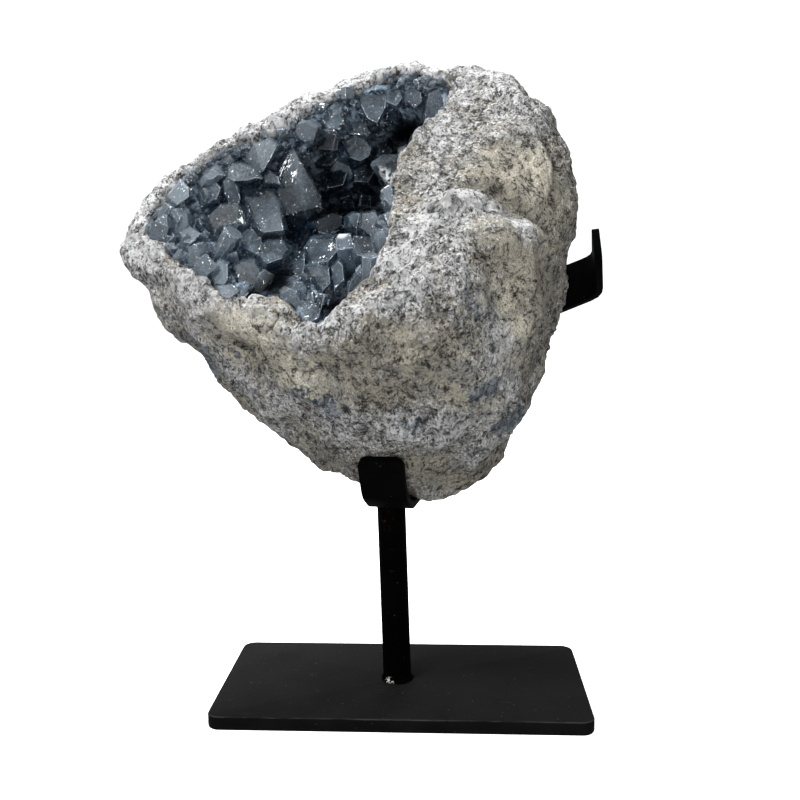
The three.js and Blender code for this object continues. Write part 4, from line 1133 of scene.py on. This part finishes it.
# stand
plate = {"width": 160, "depth": 80, "thick": 6, "corner": 5.6, "edge": 0.7, "cornerSteps": 9}
rod = {
    "foot": (-2.6, 0, 6),
    "top": (-4.6, 0, 86.6),
    "radius": 6.2,
    "sides": 48,
    "gap": 0.3,
    "weld": 0.9,
    "weldHigh": 1.8,
    "ripples": [(0.16, 11, 0), (0.12, 5, 1)],  # of the weld: amount, count round it, start
}
bars = {"cradle_strap": "cradle_bar", "back_arm": "back_arms"}
barEdge = {"flat": 1.5, "sharp": 40, "round": 0.45}  # angles in degrees, and the rounding


def plateBlock():
    def ring(inset, height):
        places = []
        corner = plate["corner"]
        for quarter, (sx, sy) in enumerate(((1, 1), (-1, 1), (-1, -1), (1, -1))):
            middle = Vector((sx * (plate["width"] / 2 - corner), sy * (plate["depth"] / 2 - corner), height))
            for i in range(plate["cornerSteps"] + 1):
                angle = math.pi / 2 * (quarter + i / plate["cornerSteps"])
                places.append(middle + Vector((math.cos(angle), math.sin(angle), 0)) * (corner - inset))
        return places

    edge, thick = plate["edge"], plate["thick"]
    rings = [ring(edge, 0), ring(edge * 0.3, edge * 0.3), ring(0, edge), ring(0, thick - edge)]
    rings += [ring(edge * 0.3, thick - edge * 0.3), ring(edge, thick)]
    return loft(rings)


def rodBlock():
    foot, top = Vector(rod["foot"]), Vector(rod["top"])
    length = top.z - foot.z - 2 * rod["gap"]
    radius, weld, high = rod["radius"], rod["weld"], rod["weldHigh"]
    # weld fillet at the foot, plain rod, weld bead at the top
    profile = [(radius + weld, 0), (radius + weld * 0.9, 0.5)]
    profile += [(radius + weld * 0.45, high * 0.5), (radius, high)]
    profile += [(radius, length * share) for share in (0.2, 0.4, 0.6, 0.8)]
    profile += [(radius, length - high), (radius + weld * 0.45, length - high * 0.6)]
    profile += [(radius + weld * 0.5, length)]
    rings = []
    for wide, height in profile:
        ring = []
        for i in range(rod["sides"]):
            angle = 2 * math.pi * i / rod["sides"]
            ripple = sum(amount * math.sin(angle * count + start) for amount, count, start in rod["ripples"])
            axis = foot.lerp(top, (height + rod["gap"]) / (top.z - foot.z))
            reach = wide + max(0, wide - radius) * ripple
            ring.append(axis + Vector((math.cos(angle), math.sin(angle), 0)) * reach)
        rings.append(ring)
    return loft(rings)


def workedBar(node, name):  # the CAD bar with its edges eased
    block = bmesh.new()
    block.from_mesh(frame["nodes"][node].data)
    block.transform(Matrix.Scale(1 / mm, 4))
    bmesh.ops.remove_doubles(block, verts=block.verts, dist=0.001)
    flat, sharp = (math.radians(barEdge[key]) for key in ("flat", "sharp"))
    bmesh.ops.dissolve_limit(block, angle_limit=flat, verts=block.verts, edges=block.edges)
    edges = [edge for edge in block.edges if edge.calc_face_angle(0) > sharp]
    rounding = {"offset": barEdge["round"], "segments": 2, "profile": 0.6, "clamp_overlap": True}
    bmesh.ops.bevel(block, geom=edges, affect="EDGES", **rounding)
    return hung(name, meshOf(name, block))


def softEdges(piece, angle=40):
    piece.data.shade_smooth()
    piece.data.set_sharp_from_angle(angle=math.radians(angle))
    return piece


# paint of each part: colour, worn colour, share of scuffs, gloss, and where rust and a chip show
paints = {
    "plate_paint": {
        "base": (0.004, 0.004, 0.0043),
        "wearAndEdgeLight": (0.0065, 0.0065, 0.0065),
        "scuffs": 0.5,
        "gloss": 0.07,
        "paleTop": ((0.012, 0.012, 0.012), (0.0165, 0.0165, 0.0165)),
    },
    "rod_paint": {
        "base": (0.0006, 0.0007, 0.0009),
        "wearAndEdgeLight": (0.0014, 0.0015, 0.0018),
        "scuffs": 0.4,
        "gloss": 0.02,
        "rust": (-7, -6, 81),
        "chip": (-5.8, -5.4, 6.4),
    },
    "bar_paint": {
        "base": (0.0015, 0.0016, 0.002),
        "wearAndEdgeLight": (0.0032, 0.0034, 0.004),
        "scuffs": 0.4,
        "gloss": 0.04,
    },
}
wearAndHighlight = {
    # painted highlight along the plate's top edge
    "edge": (0.04, 0.04, 0.04),
    "scratch": (0.05, 0.05, 0.05),
    "dust": (0.16, 0.16, 0.15),
    "rust": (0.05, 0.018, 0.008),
    "chip": (0.4, 0.4, 0.38),
}


def paintFinish(name, base, wearAndEdgeLight, scuffs, gloss, rust=None, chip=None, paleTop=None):
    coat = Finish(name)
    cloud = coat.clouds(22, 5, 0.6)
    fine = coat.clouds(1.4, 4, 0.6)
    scratch = coat.clouds(7, 5, 0.7, (0.35, 6, 3))
    colour = coat.mix(coat.step(cloud, 0.35, 0.7), base, wearAndEdgeLight)
    if paleTop:  # the top of the plate lighter, and a painted highlight along its edge
        high = coat.along((0, 0, 1))
        top = plate["thick"]
        paleTopColour = coat.mix(coat.step(cloud, 0.3, 0.7), *paleTop)
        colour = coat.mix(coat.step(high, top - 0.5, top - 0.1), colour, paleTopColour)
        # a band round the top edge painted lighter as a highlight
        edge = coat.step(high, top - 0.6, top - 0.4) - coat.step(high, top - 0.15, top - 0.05)
        colour = coat.mix(edge * coat.step(scratch, 0.4, 0.6), colour, wearAndHighlight["edge"])
    colour = coat.mix(coat.step(scratch, 0.66, 0.74) * scuffs, colour, wearAndHighlight["scratch"])
    dots = coat.step(coat.clouds(1.3, 2, 0.5), 0.735, 0.76)
    colour = coat.mix(dots * scuffs, colour, wearAndHighlight["dust"])
    if rust:
        spot = coat.near(rust, 7) * coat.step(coat.clouds(1.5, 4, 0.7), 0.58, 0.64)
        colour = coat.mix(spot * 0.7, colour, wearAndHighlight["rust"])
    if chip:
        spot = coat.near(chip, 3) * coat.step(coat.clouds(1.2, 3, 0.7), 0.5, 0.56)
        colour = coat.mix(spot, colour, wearAndHighlight["chip"])
    normal = coat.bump(fine + cloud * 2, 0.15, 0.5)
    sockets = {"Base Color": colour, "Roughness": 0.5 + cloud * 0.2, "Normal": normal}
    return coat.done(coat.surface({**sockets, "Specular IOR Level": gloss}))


# building
asPiece(stoneSkin(), rockFinish(), "geode_shell")
asPiece(crystalBed(), bedFinish(), "crystal_crust")
asPiece(grownCrystals(), crystalFinish(), "crystal_crust")

plateCoat, rodCoat, barCoat = (paintFinish(name, **paints[name]) for name in paints)
asPiece(softEdges(hung("plate", meshOf("plate", plateBlock()))), plateCoat, "base_plate")
asPiece(softEdges(hung("post_rod", meshOf("post_rod", rodBlock())), 70), rodCoat, "post")
for node, name in bars.items():
    asPiece(softEdges(workedBar(node, name)), barCoat, node)
print("stand made")


# studio
studio = {
    "floor": (0.9, 0.9, 0.9),
    "floorDark": (0.86, 0.86, 0.86),
    "floorGlow": 0.8,
    "floorSize": 6000,
    "sky": 0.46,
    # lamps: place, aim, size, power, whether only its reflection shows
    "lamps": [
        ((-330, -400, 1000), (-20, 0, 200), 190, 8.1, False),
        ((-160, 260, 950), (-20, 0, 200), 260, 9.6, False),
        ((-60, -900, 120), (-20, 0, 170), 600, 5.5, False),
        ((-500, -300, 800), (-20, 0, 200), 420, 0.55, True),
        ((-330, -400, 1000), (-20, 0, 200), 24, 0.7, True),
        ((100, -500, 900), (-20, 0, 200), 24, 0.5, True),
        ((-500, -700, 500), (-20, 0, 200), 24, 0.5, True),
        ((400, -300, 700), (-20, 0, 200), 24, 0.5, True),
        ((0, 300, 1000), (-20, 0, 200), 24, 0.5, True),
    ],
    "roomRadius": 3000,
}


def paleFloor():
    ground = bmesh.new()
    bmesh.ops.create_grid(ground, x_segments=1, y_segments=1, size=studio["floorSize"])
    floor = hung("floor", meshOf("floor", ground))
    pale = Finish("pale_floor")
    tone = pale.mix(pale.clouds(40, 2) * 0.1, studio["floor"], studio["floorDark"])
    sockets = {"Base Color": tone, "Roughness": 0.9, "Emission Color": (1, 1, 1)}
    surface = pale.surface({**sockets, "Emission Strength": studio["floorGlow"]})
    floor.data.materials.append(pale.done(surface))
    return floor


def whiteRoom():
    dome = bmesh.new()
    bmesh.ops.create_icosphere(dome, subdivisions=4, radius=studio["roomRadius"])
    room = hung("white_room", meshOf("white_room", dome))
    glow = Finish("white_room")
    light = glow.node("ShaderNodeEmission", {}, {"Color": (1, 1, 1), "Strength": 1.0})
    room.data.materials.append(glow.done(light))
    return room


def setLamps():
    for number, (place, aim, size, power, sparkle) in enumerate(studio["lamps"]):
        lamp = bpy.data.lights.new(f"lamp{number}", "AREA")
        lamp.size = size * mm
        lamp.energy = power
        stand = bpy.data.objects.new(f"lamp{number}", lamp)
        stand.visible_diffuse = not sparkle
        stand.visible_glossy = sparkle
        stand.visible_transmission = sparkle
        stand.location = Vector(place) * mm
        stand.rotation_euler = (Vector(aim) - Vector(place)).to_track_quat("-Z", "Y").to_euler()
        scene.collection.objects.link(stand)


def setStudio():
    floor, room = paleFloor(), whiteRoom()
    for stagePiece in (floor, room):  # seen by the camera, without lighting the stone from all round
        stagePiece.visible_diffuse = False
        stagePiece.visible_glossy = False
        stagePiece.visible_transmission = False
        stagePiece.visible_shadow = False
    world = bpy.data.worlds.new("studio")
    world.use_nodes = True
    backdrop = world.node_tree.nodes["Background"]
    backdrop.inputs["Color"].default_value = (1, 1, 1, 1)
    backdrop.inputs["Strength"].default_value = studio["sky"]
    scene.world = world
    setLamps()
    scene.view_settings.view_transform = "Standard"
    scene.view_settings.look = "Medium High Contrast"


setStudio()
print("studio set")
